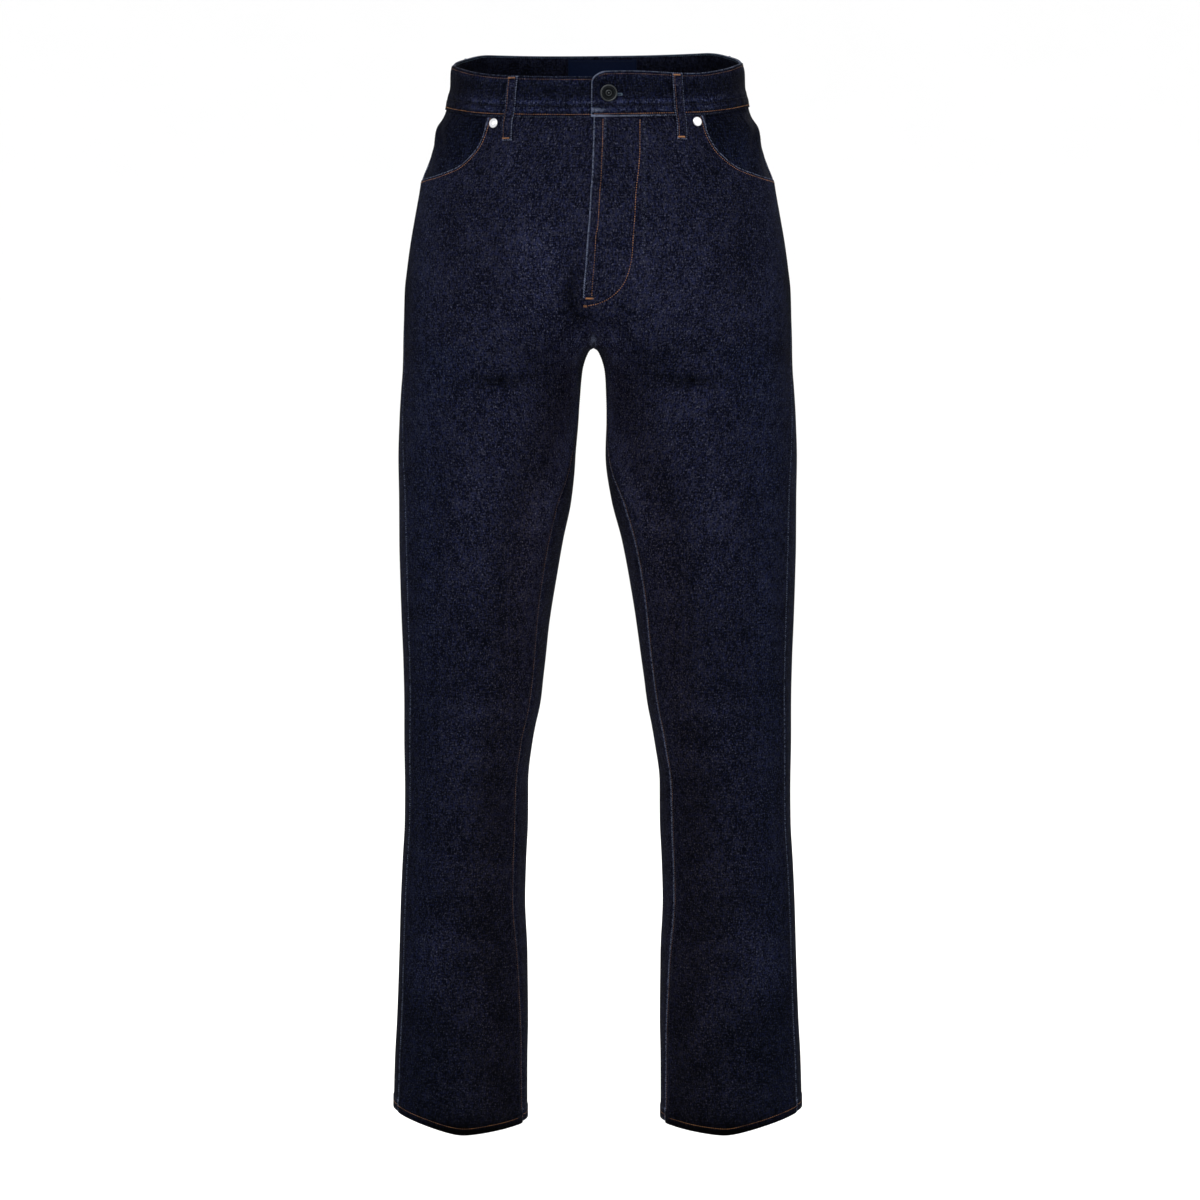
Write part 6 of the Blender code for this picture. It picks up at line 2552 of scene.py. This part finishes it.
@dataclass
class Studio:
    """The floor, the lights and the camera. Lengths are in metres."""

    floor_level: float = -1.24
    floor_size: float = 9.0
    flat_reach: float = 4.0  # the floor is flat this far out
    floor_curve: float = 0.12
    camera_at: Point = (0.0024, -3.30, -0.25)
    aim: Point = (0.0024, 0.0, -0.556)
    lens: float = 95.14
    world: float = 1.03
    finish: StudioFinish = StudioFinish()
    lights: tuple[Light, ...] = (
        Light("key_light", (-0.7, -2.5, 1.7), (0, 0, -0.4), 1.3, 78.0),
        Light("fill_light", (2.2, -1.2, 0.4), (0, 0, -0.5), 1.6, 16.0),
        Light("back_light", (0.6, 2.5, 1.6), (0, 0, -0.4), 1.3, 66.0),
    )

    def build(self) -> None:
        """Sets up the studio."""
        self.lay_floor()
        for light in self.lights:
            self.hang(light)
        world = bpy.data.worlds.new("studio")
        world.use_nodes = True
        world.node_tree.nodes["Background"].inputs[0].default_value = (1, 1, 1, 1)
        world.node_tree.nodes["Background"].inputs[1].default_value = self.world
        bpy.context.scene.world = world
        bpy.context.scene.view_settings.view_transform = "Standard"
        self.set_camera()

    def lay_floor(self) -> None:
        """Lays a wide sheet of paper, curved up far behind."""
        bm = bmesh.new()
        bmesh.ops.create_grid(bm, x_segments=24, y_segments=24, size=self.floor_size)
        for vert in bm.verts:
            away = max(0.0, math.hypot(vert.co.x, vert.co.y) - self.flat_reach)
            vert.co.z = self.floor_level + self.floor_curve * away * away
        mesh = bpy.data.meshes.new("studio_floor")
        bm.to_mesh(mesh)
        bm.free()
        mesh.shade_smooth()
        mesh.materials.append(self.finish.make())
        floor = bpy.data.objects.new("studio_floor", mesh)
        bpy.context.scene.collection.objects.link(floor)

    def hang(self, light: Light) -> None:
        """Hangs one light.

        Args:
            light: the light.
        """
        lamp = bpy.data.lights.new(light.name, "AREA")
        lamp.size = light.size
        lamp.energy = light.power
        hung = bpy.data.objects.new(light.name, lamp)
        hung.matrix_world = self.look(light.spot, light.aim)
        bpy.context.scene.collection.objects.link(hung)

    @staticmethod
    def look(spot: Point, aim: Point) -> Matrix:
        """A matrix at a spot whose -Z points at the aim."""
        way = Vector(aim) - Vector(spot)
        return Matrix.Translation(spot) @ way.to_track_quat("-Z", "Y").to_matrix().to_4x4()

    def set_camera(self) -> None:
        """Makes the camera and puts it in use."""
        lens = bpy.data.cameras.new("camera")
        lens.lens = self.lens
        lens.sensor_width = 36.0
        camera = bpy.data.objects.new("camera", lens)
        camera.matrix_world = self.look(self.camera_at, self.aim)
        bpy.context.scene.collection.objects.link(camera)
        bpy.context.scene.camera = camera


# ---------------------------------------------------------------- the garment
# The belt loops, as (name, half, share from the centre front to the centre back, lean).
LOOPS = (
    ("front_left", Half.LEFT, 0.184, -3.0),
    ("front_right", Half.RIGHT, 0.197, -2.5),
    ("side_left", Half.LEFT, 0.63, 0.0),
    ("side_right", Half.RIGHT, 0.63, 0.0),
    ("centre_back", Half.LEFT, 1.0, 0.0),
)
BUTTON = (10.6, -40.5)
BUTTONHOLE_DROP = 0.6
RIVET_INSET, RIVET_DROP = 6.5, 6.0
METAL_RISE = 0.35


def make_metal(bench: Bench, band: Waistband) -> None:
    """Makes the shank button, its buttonhole's end and the two rivets.

    Args:
        bench: the bench.
        band: the waistband.
    """
    along, level = BUTTON
    spot = (along, level, float(band.surface(Half.LEFT, along)) + METAL_RISE)
    button = ("shank_button", "waist_button", Slot.DARK_METAL, spot, BUTTON_PROFILE)
    Fastener(bench, Half.LEFT, *button, steps=64).make()
    Buttonhole(bench, band, along, level - BUTTONHOLE_DROP).make()
    for half, mouth in MOUTHS.items():
        along = mouth.start - RIVET_INSET
        spot = (along, float(bench.form.seam_level(half, along)[0]) - RIVET_DROP, METAL_RISE)
        node = f"rivet_{half.word}"
        Fastener(bench, half, f"{node}_cap", node, Slot.NICKEL, spot, RIVET_PROFILE).make()


def main() -> None:
    """Clears the scene, then makes every piece of the jeans and the studio."""
    logging.basicConfig(level=logging.INFO, format="%(name)s: %(message)s", stream=sys.stdout)
    for old in list(bpy.data.objects):
        bpy.data.objects.remove(old)
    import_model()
    bench = Bench(JeansForm(MAIN_CREASES + FINE_CREASES))
    band = Waistband(bench)
    for half in Half:
        yoke = Yoke(bench, half)
        FrontLeg(bench, half).make()
        PocketFacing(bench, half).make()
        yoke.make()
        BackLeg(bench, half, yoke).make()
        BackPocket(bench, half, yoke).make()
    band.make()
    for name, half, share, lean in LOOPS:
        BeltLoop(bench, half, name, share, lean, band).make()
    BackLabel(bench).make()
    make_metal(bench, band)
    bench.finish_stitches()
    Studio().build()


if __name__ == "__main__":
    main()
